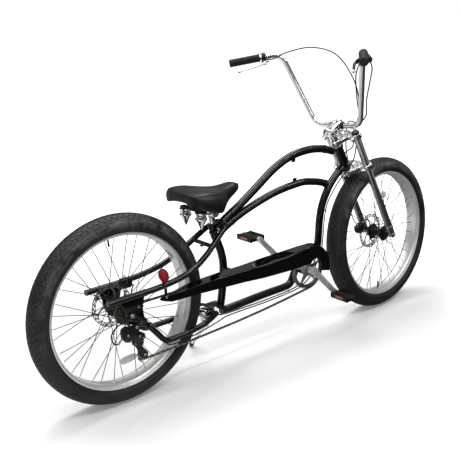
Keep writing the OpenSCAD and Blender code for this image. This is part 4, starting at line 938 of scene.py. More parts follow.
def cranks():
    M = CRANK @ Matrix.Rotation(rad(CRANK_A), 4, "Y")
    g = Geo()
    for s in (-1, 1):
        # Forged arm: eight-sided sections that narrow towards the pedal eye
        secs = []
        n = 14
        for k in range(n + 1):
            f = k / n
            x = -s * (-17 + (CRANK_L + 30) * f)
            hub = max(0.0, 1 - abs(x) / 20.0)
            end = max(0.0, 1 - abs(abs(x) - CRANK_L) / 14.0)
            h = 13.5 - 2.5 * f
            if abs(x) < 18 or (x * -s) < 0:
                h = max(h, math.sqrt(max(0.5, 18 ** 2 - x * x)))
            if abs(abs(x) - CRANK_L) < 13 and (x * -s) > 0:
                h = max(h, math.sqrt(max(0.5, 13 ** 2 - (abs(x) - CRANK_L) ** 2)))
            if k == n:
                h = 3
            secs.append((x, h, 8.0 - 1.0 * math.sin(math.pi * f)))
        m = 12
        vs = []
        for x, h, w in secs:
            for j in range(m):
                t = 2 * math.pi * (j + 0.5) / m
                c, q = math.cos(t), math.sin(t)
                vs.append(V((x, s * ARM_Y + w * abs(c) ** 0.5 * (1 if c > 0 else -1), h * abs(q) ** 0.6 * (1 if q > 0 else -1))))
        fs = [[i * m + j, i * m + (j + 1) % m, (i + 1) * m + (j + 1) % m, (i + 1) * m + j]
              for i in range(len(secs) - 1) for j in range(m)]
        fs += [list(range(m)), [(len(secs) - 1) * m + j for j in range(m)]]
        g.add(vs, fs)
        g.lathe([(12, 0), (16, 0), (15, 22), (12.5, 30), (12, 30)], 32, at=(0, s * (ARM_Y - 6), 0), axis=(0, -s, 0))
        g.lathe([(9, 0), (12.5, 0), (12.5, 1.5), (9, 1.5)], 28, at=(-s * CRANK_L, s * (ARM_Y + 6), 0), axis=(0, s, 0))
    piece("crank_arms_forged", g, M, CRANKALU, "crank", ["crank_set"], angle=42)
    g = Geo()
    g.rod((0, -ARM_Y - 2, 0), (0, ARM_Y + 2, 0), 11.9, 32)
    for s in (-1, 1):
        g.lathe([(0.01, 1.0), (6, 1.0), (7.4, 1.8), (8.6, 1.2), (9.4, 0)], 28, at=(0, s * (ARM_Y + 6), 0), axis=(0, s, 0))
        g.rod((-s * CRANK_L, s * (ARM_Y + 4), 0), (-s * CRANK_L, s * (ARM_Y + 104), 0), 5, 20)
        g.lathe([(0.01, 0), (3, 0), (3.6, -0.6), (6.6, -0.6)], 6, at=(-s * CRANK_L, s * (ARM_Y - 6.6), 0), axis=(0, s, 0))
    piece("crank_spindle_caps", g, M, ROTOR, "crank", angle=35)


def pedal(s, body):
    ang = rad(CRANK_A)
    cx, cz = -s * CRANK_L * math.cos(ang), s * CRANK_L * math.sin(ang)
    y0 = ARM_Y + 12
    M = CRANK @ Matrix.Translation((cx, 0, cz))
    g = Geo()
    y1 = y0 + 96
    for t in (-1, 1):
        # front and rear rails with raised teeth and the reflector's frame
        g.box((t * 40 - 4 if t > 0 else -40, s * y0, -13), (40 if t > 0 else -36, s * y1, 13))
        for k in range(7):
            yy = y0 + 8 + k * 13.4
            for zz in (-13, 13):
                g.box((t * 38 - 3, s * yy - 3, zz - 2.4), (t * 38 + 3, s * yy + 3, zz + 2.4))
        g.box((-40, s * (y0 if t < 0 else y1 - 8), -10), (40, s * (y0 + 8 if t < 0 else y1), 10))
        g.box((t * 20 - 3, s * y0, -11), (t * 20 + 3, s * y1, 11))
    g.v = [V((v.x * 0.9, v.y, v.z * 0.8)) for v in g.v]
    g.lathe([(5.1, s * y0), (11, s * y0), (11, s * (y0 + 10)), (9.5, s * (y0 + 18)), (9.5, s * (y1 - 14)),
             (10.5, s * (y1 - 8)), (10.5, s * y1), (5.1, s * y1)], 28)
    for k in range(1, 4):
        yy = y0 + 24 * k
        g.box((-34, s * yy - 2.5, -7), (34, s * yy + 2.5, 7))
    nm = "left" if s > 0 else "right"
    piece("pedal_cage_" + nm, g, M, PLASTIC, body, ["pedal_" + nm], angle=30, bevel=0.8)
    g = Geo()
    for t in (-1, 1):
        g.box((t * 36.2 - 1.4, s * (y0 + 27), -4.8), (t * 36.2 + 1.4, s * (y0 + 69), 4.8))
    piece("pedal_reflectors_" + nm, g, M, AMBER, body, angle=30, bevel=1.0)
    g = Geo().lathe([(0.01, s * (y1 + 3)), (6, s * (y1 + 3)), (8, s * (y1 + 1)), (8, s * (y1 - 1)), (0.01, s * (y1 - 1))], 20)
    piece("pedal_cap_" + nm, g, M, PLASTIC, body, angle=30)


# Chain guard: a channel with a sloping roof, carried round the nose of the chainring
# [x, how far the roof's inner edge lies below the outline, and its outer edge]
LIP = [(114, 4, 5), (155, 4, 7), (230, 2, 7), (320, -2, 6), (420, -4, 6), (500, -3, 9), (563, -1, 13), (614, 0, 18), (709, 1.5, 19),
       (802, 4, 15), (868, 5, 9), (983, 2, 7)]


def guard():
    top = [(114, 381), (120, 388), (155, 391), (295, 393), (507, 399), (605, 407), (735, 414), (849, 421)]
    low = [(114, 376), (128, 368), (166, 356), (295, 353.5), (507, 345), (604, 338), (735, 335), (849, 336.5)]
    rows = list(zip(top, low))
    st = []
    for i in range(len(rows) - 1):
        for k in range(4):
            f = k / 4
            st.append((V(rows[i][0]).lerp(V(rows[i + 1][0]), f), V(rows[i][1]).lerp(V(rows[i + 1][1]), f)))
    c = V((CRANK_X, CRANK_Z))
    for a in range(96, -14, -6):
        d = V((math.cos(rad(a)), math.sin(rad(a))))
        inner = 58.0
        if a > 60:
            inner = 34 + (58 - 34) * (96 - a) / 36.0
        st.append((c + d * 115, c + d * inner))
    g = Geo()
    n, m = len(st), 11
    vs = []
    for i, (t, b) in enumerate(st):
        d = (b - t).normalized()
        ln = (b - t).length
        lo, hi = (spline(LIP, min(max(t.x, 114.0), 983.0), k) for k in (1, 2))
        yi = -85.5 + 35.5 * min(1, max(0.05, (t.x - 130) / 126.0))

        def at(y):
            return lo + (hi - lo) * (yi - y) / (yi + 85.5)
        ym = (yi - 83) / 2
        prof = [(yi, lo, 0), (ym, at(ym), 0), (min(yi, -80), at(min(yi, -80)), 0), (-84.3, hi - 0.5, 0), (-85.2, hi + 0.6, 0),
                (-85.5, 0, 1), (-83, 0, 1), (-83, hi + 3.8, 0), (-82.4, hi + 2.6, 0), (ym, at(ym) + 2.6, 0), (yi, lo + 2.6, 0)]
        for y, drop, atlow in prof:
            q = b if atlow else t + d * min(drop, ln * 0.8)
            vs.append(V((q.x, y, q.y)))
    fs = [[i * m + j, i * m + (j + 1) % m, (i + 1) * m + (j + 1) % m, (i + 1) * m + j] for i in range(n - 1) for j in range(m)]
    fs += [list(range(m)), [(n - 1) * m + j for j in range(m)]]
    g.add(vs, fs)
    # Lower left corner of the nose, where the guard widens to meet the ring
    g.box((138, -84, 372), (148, -80, 426))
    g.box((962, -84, 352), (982, -16, 357))
    g.box((452, -66, 393), (472, -15, 398))
    piece("chain_guard_channel", g, BIKE, PAINT, "frame", ["chain_guard"], angle=38, bevel=0)
    g = Geo()
    for x, z in ((143, 379), (143, 414)):
        g.bolt((x, -85.6 if z < 400 else -84, z), (0, -1, 0), 4.5, 3.4, 20)
    piece("guard_bolts", g, BIKE, ROTOR, "frame", angle=30)
    # Rear reflector and its stalk
    g = Geo()
    g.box((133.5, -81, 424), (138.5, -75, 446))
    g.lathe([(0.01, 4), (21.4, 4), (24, 2.6), (24.5, -3), (23, -3.6)], 40, at=(140, -78, 459), axis=(0.985, 0.17, 0))
    piece("reflector_cup", g, BIKE, PLASTIC, "frame", ["rear_reflector"], angle=32)
    g = Geo().lathe([(22.8, -3.2), (22.2, -5.4), (15, -6.8), (0.01, -7.4)], 36, at=(140, -78, 459), axis=(0.985, 0.17, 0))
    piece("reflector_lens", g, BIKE, RED, "frame", angle=50)


# Steering: everything below is in the fork's frame (u forward, y left, w up the steering axis)
def slab(g, outline, w0, w1, n0=None):
    n = len(outline)
    vs = [V((p[0], p[1], w)) for w in (w0, w1) for p in outline]
    fs = [list(range(n - 1, -1, -1)), [n + i for i in range(n)]]
    fs += [[i, (i + 1) % n, n + (i + 1) % n, n + i] for i in range(n)]
    return g.add(vs, fs)


LEG_U, LEG_Y, LEG_R, TOP_W, LOW_W = 50.0, 75.0, 15.5, 80.0, -80.0


def crown_outline(front, waist):
    # Half plan outline from the middle of the front edge round a leg boss to the middle of the back edge
    pts = [(LEG_U + front, 0), (LEG_U + front, 18), (LEG_U + front - waist, 38), (LEG_U + front - waist * 0.7, 52)]
    for k in range(13):
        t = rad(62 - 232 * k / 12)
        pts.append((LEG_U + 21 * math.cos(t), LEG_Y + 21 * math.sin(t)) if k < 13 else None)
    half = [(LEG_U + front, 0), (LEG_U + front, 20), (LEG_U + front - waist, 44)]
    for k in range(15):
        t = rad(-38 + 256 * k / 14)
        half.append((LEG_U + 21.5 * math.cos(t), LEG_Y + 21.5 * math.sin(t)))
    half += [(LEG_U - 20, 52), (14, 40), (-2, 28), (-16, 18), (-23, 8), (-24, 0)]
    return half + [(u, -y) for u, y in half[-2:0:-1]]


def crowns():
    for nm, w, node, front, waist in (("upper", TOP_W, "upper_crown", 24, 9), ("lower", LOW_W, "lower_crown", 26, 10)):
        g = slab(Geo(), crown_outline(front, waist), w - 9, w + 9)
        piece("crown_plate_" + nm, g, STEER, CHROME, "fork", [node], angle=32, bevel=2.6, segs=3)
        g = Geo()
        for s in (-1, 1):
            g.lathe([(15.7, 12.4), (20.6, 12.4), (21.6, 11), (21.6, -11), (20.6, -12.4), (15.7, -12.4)], 40,
                    at=(LEG_U, s * LEG_Y, w), axis=(0, 0, 1))
            # Pinch ears behind each leg
            g.box((LEG_U - 36, s * LEG_Y - 8, w - 8), (LEG_U - 18, s * LEG_Y + 8, w + 8))
        piece("crown_bosses_" + nm, g, STEER, CHROME, "fork", angle=32, bevel=1.0)
        g = Geo()
        for s in (-1, 1):
            for q in (-1, 1):
                g.socket((LEG_U - 29, s * (LEG_Y + q * 8), w), (0, q * s, 0), 4.4, 4.6)
            for u, y in ((LEG_U + front * 0.55, 12), (LEG_U - 6, 34), (LEG_U + 8, 44)):
                g.socket((u, s * y, w + 9), (0, 0, 1), 4.2, 3.6)
        g.lathe([(0.01, 0), (9, 0), (11.5, -1.2), (13, -3)], 28, at=(LEG_U + 2, 0, w + 11.5), axis=(0, 0, 1))
        piece("crown_bolts_" + nm, g, STEER, ROTOR, "fork", angle=30)
    g = Geo().rod((0, 0, LOW_W - 9), (0, 0, 96), 12.7, 40)
    piece("steerer_tube", g, STEER, CHROME, "fork")


def legs():
    for s, nm in ((1, "left"), (-1, "right")):
        y = s * LEG_Y
        g = Geo()
        a = (LEG_U, y, -452.0)
        g.lathe([(11, 0), (LEG_R - 1.5, 0), (LEG_R, 1.6), (LEG_R, 24), (LEG_R - 0.9, 25), (LEG_R - 0.9, 26.5), (LEG_R, 27.5),
                 (LEG_R, 546), (LEG_R - 1.2, 548), (10, 548)], 48, at=a, axis=(0, 0, 1))
        piece("fork_tube_" + nm, g, STEER, FORKM, "fork", ["fork_leg_" + nm], angle=32)
        g = Geo()
        g.lathe([(0.01, 6), (9, 6), (13.5, 4.4), (16.2, 1.5), (16.4, -3), (15.6, -3)], 40, at=(LEG_U, y, 96.6), axis=(0, 0, 1))
        g.lathe([(0.01, 7.6), (4.6, 7.6), (5.4, 6)], 6, at=(LEG_U, y, 96.6), axis=(0, 0, 1))
        piece("leg_cap_" + nm, g, STEER, BLACKM, "fork", angle=32)
        # Forged end that carries the axle
        g = Geo()
        prof = [(-13, 44), (13, 44), (13, 10), (12, -6), (8, -12), (0, -15), (-8, -12), (-12, -6), (-13, 10)]
        g.prism([(AXLE.x + p[0], AXLE.z + p[1]) for p in prof], y - 9, y + 9)
        g.lathe([(6, 11), (12.5, 11), (13.4, 9), (13.4, -9), (12.5, -11), (6, -11)], 32, at=(AXLE.x, y, AXLE.z))
        g.lathe([(LEG_R + 0.2, 0), (LEG_R + 2.2, 2), (LEG_R + 2.2, 16), (LEG_R + 0.2, 18)], 36,
                at=(LEG_U, y, -430), axis=(0, 0, 1))
        piece("fork_end_" + nm, g, STEER, FORKM, "fork", angle=34, bevel=2.2, segs=3)


def bend(a, b, c, r, k):
    a, b, c = V(a), V(b), V(c)
    u, v = (a - b).normalized(), (c - b).normalized()
    h = math.acos(u.dot(v)) / 2
    t = r / math.tan(h)
    m = b + (u + v).normalized() * (r / math.sin(h))
    p0, p1 = b + u * t, b + v * t
    out = []
    for i in range(k + 1):
        f = i / k
        q = (p0 - m) * math.sin((1 - f) * (math.pi - 2 * h)) + (p1 - m) * math.sin(f * (math.pi - 2 * h))
        out.append(m + r * q.normalized())
    return out


MID, LOWB, TOPB, ENDB = (1106, 0, 873), (1106, 118, 873), (1001, 214, 1176), (833, 345, 1147)


def grip_axis(s):
    a, b = loc((ENDB[0], s * ENDB[1], ENDB[2])), loc((TOPB[0], s * TOPB[1], TOPB[2]))
    return a, (b - a).normalized()


def bars():
    g = Geo()
    half = [V(MID)] + bend(MID, LOWB, TOPB, 55, 14) + bend(LOWB, TOPB, ENDB, 60, 16) + [V(ENDB)]
    pts = [loc(q) for q in [(q.x, -q.y, q.z) for q in half[::-1]] + half[1:]]
    g.tube(pts, 11.1, 32)
    piece("bar_tube", g, STEER, CHROME, "fork", ["handlebar"], angle=40)
    g = Geo()
    knurl = []
    for k in range(12):
        y = -33 + 5.5 * k
        knurl += [(12.2, y), (13.2, y + 1), (13.2, y + 4), (12.2, y + 5)]
    m = loc(MID)
    g.lathe([(11.2, -36), (13.6, -36), (13.6, -34)] + knurl + [(13.6, 34), (13.6, 36), (11.2, 36)], 32, at=m)
    piece("bar_knurl", g, STEER, PLASTIC, "fork", angle=30)
    # Stem: column on the crown, clamp round the middle of the bar and its cap
    g = Geo()
    g.lathe([(12.8, 0), (19, 0), (20, 1.2), (20, 30), (18.6, 34), (0.01, 38)], 40, at=(0, 0, 90), axis=(0, 0, 1))
    out = [(-17, -19), (-19, -12), (-19, 6), (-14, 14), (0, 17), (22, 19), (36, 20.5), (36, -20.5), (22, -21), (0, -20)]
    g.prism([(p[0], m.z + p[1]) for p in out], -20, 20)
    piece("stem_body", g, STEER, CHROME, "fork", ["stem"], angle=34, bevel=2.4, segs=3)
    g = Geo()
    for y0, y1 in ((-23, -5), (5, 23)):
        cap = []
        for k in range(13):
            t = rad(-90 + 180 * k / 12)
            cap.append((m.x + 19.5 * math.cos(t), m.z + 19.5 * math.sin(t)))
        cap += [(m.x - 6, m.z + 19.5), (m.x - 6, m.z + 14), (m.x, m.z + 13)]
        for k in range(9):
            t = rad(90 - 180 * k / 8)
            cap.append((m.x + 11.4 * math.cos(t), m.z + 11.4 * math.sin(t)))
        cap += [(m.x - 6, m.z - 14), (m.x - 6, m.z - 19.5)]
        g.prism(cap, y0, y1)
        g.ring(circle(19.3, 36, m.x, m.z), circle(11.2, 36, m.x, m.z), y0 + 1, y1 - 1)
    piece("stem_cap", g, STEER, CHROME, "fork", angle=34, bevel=1.4)
    g = Geo()
    for y in (-14, 14):
        for w in (-16, 16):
            g.socket((m.x + 12, y, m.z + w), (1, 0, 0.25 * (1 if w > 0 else -1)), 4.2, 6)
        g.socket((-19, y * 0.7, m.z - 2), (-1, 0, 0), 3.8, 4)
    g.socket((2, 0, m.z + 17), (0, 0, 1), 7, 3.4)
    piece("stem_bolts", g, STEER, ROTOR, "fork", angle=30)


def controls():
    for s, nm in ((1, "left"), (-1, "right")):
        a, d = grip_axis(s)
        f = d.cross(V((0, 0, 1))).normalized() * s
        up = V((0, 0, 1))
        g = Geo()
        prof = [(0.01, -6.5), (10, -6.5), (14, -5.6), (16.6, -3), (17.2, 1), (15.6, 5)]
        for k in range(14):
            x = 8 + 7.6 * k
            prof += [(15.2, x), (16.5, x + 1.2), (16.5, x + 5.2), (15.2, x + 6.4)]
        prof += [(16.6, 117), (17.6, 119), (17.6, 122), (16, 123), (11.2, 123)]
        g.lathe(prof, 40, at=a, axis=d)
        piece("grip_ribbed_" + nm, g, STEER, GRIP, "fork", ["grip_" + nm], angle=28)
        # Clamp ring, lever bracket, barrel adjuster
        g = Geo()
        g.lathe([(11.2, 0), (16, 0), (17, 1), (17, 19), (16, 20), (11.2, 20)], 32, at=a + 130 * d, axis=d)
        c = a + 141 * d
        br = [c - 14 * up + 4 * f, c - 14 * up + 14 * f - 2 * d, c - 13 * up + 24 * f - 8 * d, c - 15 * up + 33 * f - 18 * d]
        g.tube(br, 8, 14, radii=[11, 10.5, 9, 7.5], flat=0.75)
        piece("lever_bracket_" + nm, g, STEER, BLACKM, "fork", angle=40)
        g = Geo()
        g.lathe([(3, -1), (5, -1), (5.4, 1), (5.4, 6), (4.4, 7), (4.4, 12), (3, 14)], 16,
                at=c - 14 * up + 20 * f, axis=(d * 0.9 - f * 0.1))
        g.socket(c - 24 * up + 27 * f - 8 * d, -up, 4, 3)
        g.socket(a + 140 * d + 17 * f.cross(d), f.cross(d), 3.4, 3)
        piece("lever_barrel_" + nm, g, STEER, ROTOR, "fork", angle=32)
        g = Geo()
        path = smooth([c - 13 * up + 25 * f - 4 * d, a + 120 * d + 38 * f - 16 * up, a + 96 * d + 42 * f - 19 * up,
                       a + 70 * d + 44 * f - 22 * up, a + 40 * d + 46.5 * f - 24.5 * up, a + 18 * d + 47.5 * f - 26 * up], 5)
        n = len(path)
        g.tube(path, 5, 14, radii=[7.2 - 2.4 * i / n for i in range(n)], flat=0.62, updir=(0, 0, 1))
        b = path[-1]
        q = Geo()
        q.lathe([(0.01, -7), (4.5, -5.6), (6.6, -2.4), (7, 0), (6.6, 2.4), (4.5, 5.6), (0.01, 7)], 20, at=b, axis=d)
        piece("lever_blade_" + nm, g, STEER, CRANKALU if s > 0 else BLACKM, "fork",
              ["brake_lever_" + nm], angle=45)
        piece("lever_ball_" + nm, q, STEER, CRANKALU, "fork", angle=45)
    a, d = grip_axis(-1)
    f = d.cross(V((0, 0, 1))).normalized() * -1
    g = Geo()
    g.lathe([(11.2, 0), (17, 0), (18, 1.4), (18, 18.6), (17, 20), (11.2, 20)], 36, at=a + 152 * d, axis=d)
    p0 = a + 162 * d
    p1 = p0 + V((24, 0, -40))
    g.lathe([(0.01, -2), (12, -2), (13.4, 0), (13.4, 30), (12.4, 41), (9, 46.6), (0.01, 47)], 30, at=p0, axis=p1 - p0)
    piece("shifter_body", g, STEER, PLASTIC, "fork", ["shifter"], angle=36, bevel=0.6)
    g = Geo()
    ax = (p1 - p0).normalized()
    g.lathe([(0.01, 4), (8, 4), (11, 2.6), (11.8, 0), (11.8, -2)], 28, at=p0 + ax * 47, axis=ax)
    g.socket(p0 + ax * 20 + V((0, -13.2, 0)), (0, -1, 0), 4, 3)
    g.lathe([(3, 0), (5, 0), (5.4, 2), (5.4, 8), (4, 10), (4, 15), (3, 16)], 16, at=p1 + V((-2, 0, 4)), axis=(0.5, 0, -1))
    piece("shifter_trim", g, STEER, ROTOR, "fork", angle=32)
    g = Geo()
    side = ax.cross(d).normalized()
    g.tube(smooth([p0 + ax * 34 + d * 4, p0 + ax * 40 - d * 16 + side * 4, p0 + ax * 44 - d * 34 + side * 6], 4), 5, 12,
           radii=[6.5 - 0.25 * i for i in range(9)], flat=0.5)
    piece("shifter_paddle", g, STEER, BLACKM, "fork", angle=45)


# Disc calipers: two half bodies bolted round the rotor
def caliper(name, node, M, lo, hi, slot_y, body, mount, flip_y=1):
    g = Geo()
    cx, cz = (lo[0] + hi[0]) / 2, (lo[2] + hi[2]) / 2
    hx, hz = (hi[0] - lo[0]) / 2, (hi[2] - lo[2]) / 2
    out = [(-hx, -hz * 0.5), (-hx * 0.6, -hz), (hx * 0.7, -hz), (hx, -hz * 0.4), (hx, hz * 0.6), (hx * 0.5, hz), (-hx * 0.7, hz),
           (-hx, hz * 0.4)]
    for y0, y1 in ((lo[1], slot_y[0]), (slot_y[1], hi[1])):
        g.prism([(cx + p[0], cz + p[1]) for p in out], y0, y1)
    g.box((cx - hx * 0.9, lo[1] + 2, hi[2] - 7 if mount > 0 else lo[2]), (cx + hx * 0.9, hi[1] - 2, hi[2] if mount > 0 else lo[2] + 7))
    piece(name + "_halves", g, M, BLACKM, body, [node], angle=34, bevel=2.0, segs=3)
    g = Geo()
    y = hi[1] if flip_y > 0 else lo[1]
    for p in ((-0.62, 0.1), (0.62, 0.1)):
        g.socket((cx + p[0] * hx, y, cz + p[1] * hz), (0, flip_y, 0), 3.8, 3.6)
    g.lathe([(0.01, 2.2), (5, 2.2), (8, 1.4), (8.6, 0)], 26, at=(cx, y, cz - hz * 0.1), axis=(0, flip_y, 0))
    g.lathe([(3, 0), (4.6, 0), (5, 1.6), (5, 7), (3.6, 9), (3.6, 13), (2.6, 14)], 16,
            at=(cx - hx * 0.2, (lo[1] + hi[1]) / 2, hi[2]), axis=(0.2, 0, 1))
    g.box((cx + hx * 0.2, y - 1 if flip_y > 0 else y - 5, cz + hz * 0.1), (cx + hx * 0.62, y + 5 if flip_y > 0 else y + 1, cz + hz * 0.8))
    piece(name + "_hardware", g, M, ROTOR, body, angle=32)


def calipers():
    u0, w0 = AXLE.x - 78, AXLE.z + 40
    caliper("front_caliper", "front_caliper", STEER, (u0, 37, w0), (u0 + 44, 63, w0 + 40), (45.6, 50.8), "fork", 1, 1)
    g = Geo()
    g.box((AXLE.x - 40, 56.5, AXLE.z + 47), (AXLE.x - 6, 62.5, AXLE.z + 69))
    g.box((AXLE.x - 20, 57, AXLE.z + 47), (AXLE.x + 1, 67.5, AXLE.z + 69))
    piece("front_caliper_lug", g, STEER, BLACKM, "fork", angle=30, bevel=2.0)
    caliper("rear_caliper", "rear_caliper", BIKE, (42, 44, 398), (86, 70, 432), (53.4, 58.6), "frame", 1, 1)
    g = Geo()
    g.prism([(28, 394), (44, 392), (54, 400), (54, 420), (40, 424), (28, 412)], 61.5, 71.5)
    piece("rear_caliper_lug", g, BIKE, BLACKM, "frame", angle=30, bevel=1.6)


# Cable routes, the same points as the solid's
GEAR_BAR = [(1022, -240, 1112), (1046, -212, 1060), (1072, -176, 985), (1108, -146, 920), (1128, -100, 884),
            (1150, -62, 860), (1170, -50, 826)]
GEAR_FRAME = [(1173, -42, 782), (1164, -40, 731), (1144, -34, 696), (1128, -25, 672), (1092, -12, 626), (1046, -9, 566),
              (1026, -9, 520), (1016, -9, 468), (1012, -9, 417), (1003, -9, 360), (975, -10, 300), (935, -12, 250),
              (885, -12, 218), (822, -10, 204), (677, -10, 196), (574, -10, 195), (470, -12, 193), (410, -34, 194),
              (340, -58, 196), (250, -75, 193), (164, -82, 192), (124, -90, 212), (90, -91, 250), (40, -90, 308), (8, -90, 326),
              (-26, -88, 336), (-66, -87, 326), (-88, -86, 300), (-82, -86, 270), (-66, -86, 262), (-53, -86, 272)]
BRAKE_BAR = [(957, -243, 1126), (996, -200, 1128), (1028, -158, 1084), (1066, -132, 1000), (1104, -112, 932),
             (1130, -84, 890), (1152, -50, 862), (1176, -34, 826)]
BRAKE_FRAME = [(1175, -20, 776), (1174, 14, 750), (1161, 38, 719), (1140, 34, 691), (1128, 25, 672), (1093, 12, 626),
               (1048, 7, 568), (1028, 7, 521), (1017, 7, 468), (1013, 7, 417), (1004, 7, 360), (977, 8, 298),
               (937, 10, 247), (885, 10, 215), (822, 8, 203), (677, 8, 196), (574, 8, 195), (470, 14, 193),
               (440, 34, 197), (410, 58, 208), (372, 68, 214), (330, 74, 218), (248, 84, 212), (200, 87, 209),
               (152, 91, 208), (120, 94, 240), (106, 94, 306), (106, 88, 366), (102, 72, 386), (95, 60, 397), (84, 57, 402)]
FRONT_BAR = [(968, 222, 1158), (1010, 190, 1180), (1080, 110, 1196), (1122, 10, 1160), (1140, -66, 1050),
             (1150, -82, 940), (1160, -64, 884)]
FRONT_FORK = [(92, -22, 120), (90, 12, 60), (84, 40, -20), (82, 56, -90), (72, 84, -150), (56, 94.5, -200),
              (44, 94.5, -260), (20, 90, -320), (0, 70, -362), (-6, 58, -378)]


def spin(q):
    b = BIKE.inverted() @ (STEER @ V(q))
    return b


def cables():
    a, d = grip_axis(-1)
    for nm, node, start, bar, rest, k in (("gear", "gear_cable", a + 162 * d + V((22, 0, -36)), GEAR_BAR, GEAR_FRAME, 2),
                                         ("rear_brake", "rear_brake_cable", a + 140 * d - V((0, 0, 17)), BRAKE_BAR, BRAKE_FRAME, 2)):
        pts = [spin(start)] + [spin(loc(q)) for q in bar] + [V(q) for q in rest]
        path = smooth(pts, 6)
        g = Geo().tube(path, 2.55, 14)
        ob = piece(nm + "_cable_housing", g, BIKE, CABLE, None, [node], angle=60)
        tuple(BIKE @ V((1116, 0, 719)))
        tuple(BIKE @ V((1185, 0, 811)))
        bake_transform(ob)
        e = path[-1]
        t = (path[-1] - path[-3]).normalized()
        g = Geo().lathe([(2.6, -16), (3.6, -16), (3.6, -2), (2.6, -1)], 14, at=e, axis=t)
        piece(nm + "_cable_ferrule", g, BIKE, ROTOR, "frame", angle=35)
    a, d = grip_axis(1)
    pts = [a + 146 * d - V((0, 0, 14.5))] + [loc(q) for q in FRONT_BAR] + [V(q) for q in FRONT_FORK]
    g = Geo().tube(smooth(pts, 6), 2.55, 14)
    piece("front_brake_cable_housing", g, STEER, CABLE, "fork", ["front_brake_cable"], angle=60)
    # Clips that hold the two housings to the tubes
    g = Geo()
    for i in (6, 9, 12):
        for ga, gb in ((GEAR_FRAME, BRAKE_FRAME),):
            p = V(ga[i])
            g.lathe([(2.4, -3), (4, -3), (4, 3), (2.4, 3)], 14, at=p, axis=(V(ga[i + 1]) - V(ga[i - 1])))
    for i in (8, 11, 14):
        p = V(BRAKE_FRAME[i])
        g.lathe([(2.4, -3), (4, -3), (4, 3), (2.4, 3)], 14, at=p, axis=(V(BRAKE_FRAME[i + 1]) - V(BRAKE_FRAME[i - 1])))
    piece("cable_clips", g, BIKE, PLASTIC, "frame", angle=35)


# Saddle: moulded pad with a raised rear, a dished seat and a narrow nose
SADDLE_Z = 728.0
SADDLE = [(277, 68, 11, 50), (284, 96, 6, 55), (298, 114, 2, 59), (322, 123, 0, 65), (350, 124, 1, 73), (380, 117, 5, 84),
          (405, 101, 9, 86), (430, 78, 12, 80), (455, 58, 13, 68), (480, 45, 11, 56), (505, 36, 7, 46), (525, 29, 6, 37),
          (539, 20, 10, 31), (546, 9, 15, 25)]
SECTION = [(0, 1.0), (0.4, 0.985), (0.7, 0.94), (0.88, 0.84), (0.97, 0.66), (1, 0.38), (0.97, 0.07), (0.9, 0)]


def saddle():
    xs = [277.4, 279, 282] + [286 + 5.2 * k for k in range(50)] + [544, 545.4]
    sec = [(0.0, 1.0), (0.12, 1.0), (0.25, 0.997), (0.38, 0.987), (0.5, 0.975), (0.62, 0.957), (0.7, 0.94), (0.76, 0.917),
           (0.80, 0.893), (0.815, 0.868), (0.84, 0.872), (0.88, 0.845), (0.93, 0.76), (0.97, 0.65), (0.99, 0.52),
           (1.0, 0.38), (0.99, 0.22), (0.965, 0.07), (0.93, 0.01), (0.87, 0.0), (0.8, 0.03), (0.74, 0.12), (0.7, 0.2),
           (0.4, 0.24), (0.0, 0.26)]
    ring = sec + [(-u, h) for u, h in sec[-2:0:-1]]
    vs, m = [], len(ring)
    for x in xs:
        hw, top, bot = spline(SADDLE, x, 1), spline(SADDLE, x, 2), spline(SADDLE, x, 3)
        for u, h in ring:
            z = SADDLE_Z - bot + (bot - top) * h
            if h > 0.9:
                # dish between the sit bones and a shallow channel along the middle
                z -= 5.0 * math.exp(-((x - 375) / 70.0) ** 2) * math.exp(-(u / 0.3) ** 2)
                z += 2.2 * math.exp(-((x - 335) / 40.0) ** 2) * math.exp(-((abs(u) - 0.5) / 0.22) ** 2)
            vs.append(V((x, hw * u, z)))
    n = len(xs)
    fs = [[i * m + j, i * m + (j + 1) % m, (i + 1) * m + (j + 1) % m, (i + 1) * m + j] for i in range(n - 1) for j in range(m)]
    fs += [list(range(m)), [(n - 1) * m + j for j in range(m)]]
    g = Geo().add(vs, fs)
    ob = piece("saddle_pad", g, BIKE, VINYL, "frame", ["saddle"], angle=70, sub=1)
    # Stitched welt along the edge of the top panel
    g = Geo()
    for s in (-1, 1):
        for off, r in ((0.815, 0.9), (0.86, 0.55)):
            path = []
            for x in xs[2:-3]:
                hw, top, bot = spline(SADDLE, x, 1), spline(SADDLE, x, 2), spline(SADDLE, x, 3)
                h = 0.868 if off < 0.85 else 0.862
                path.append((x, s * hw * off, SADDLE_Z - bot + (bot - top) * h + 0.5))
            g.tube(path, r, 8)
    piece("saddle_welt", g, BIKE, VINYL, "frame", angle=60)
    # Base tray under the pad
    g = Geo()
    tray = [(-0.7, 0.22), (0.7, 0.22)]
    vs, fs = [], []
    px = [x for x in xs if 300 < x < 500][::4]
    for x in px:
        hw, bot = spline(SADDLE, x, 1), spline(SADDLE, x, 3)
        for u, dz in ((-0.72, 9), (-0.5, 16), (0, 18), (0.5, 16), (0.72, 9), (0.72, 12), (0.5, 19), (0, 21), (-0.5, 19), (-0.72, 12)):
            vs.append(V((x, hw * u, SADDLE_Z - bot + dz)))
    fs = [[i * 10 + j, i * 10 + (j + 1) % 10, (i + 1) * 10 + (j + 1) % 10, (i + 1) * 10 + j] for i in range(len(px) - 1) for j in range(10)]
    fs += [list(range(10)), [(len(px) - 1) * 10 + j for j in range(10)]]
    g.add(vs, fs)
    piece("saddle_tray", g, BIKE, PLASTIC, "frame", angle=40)


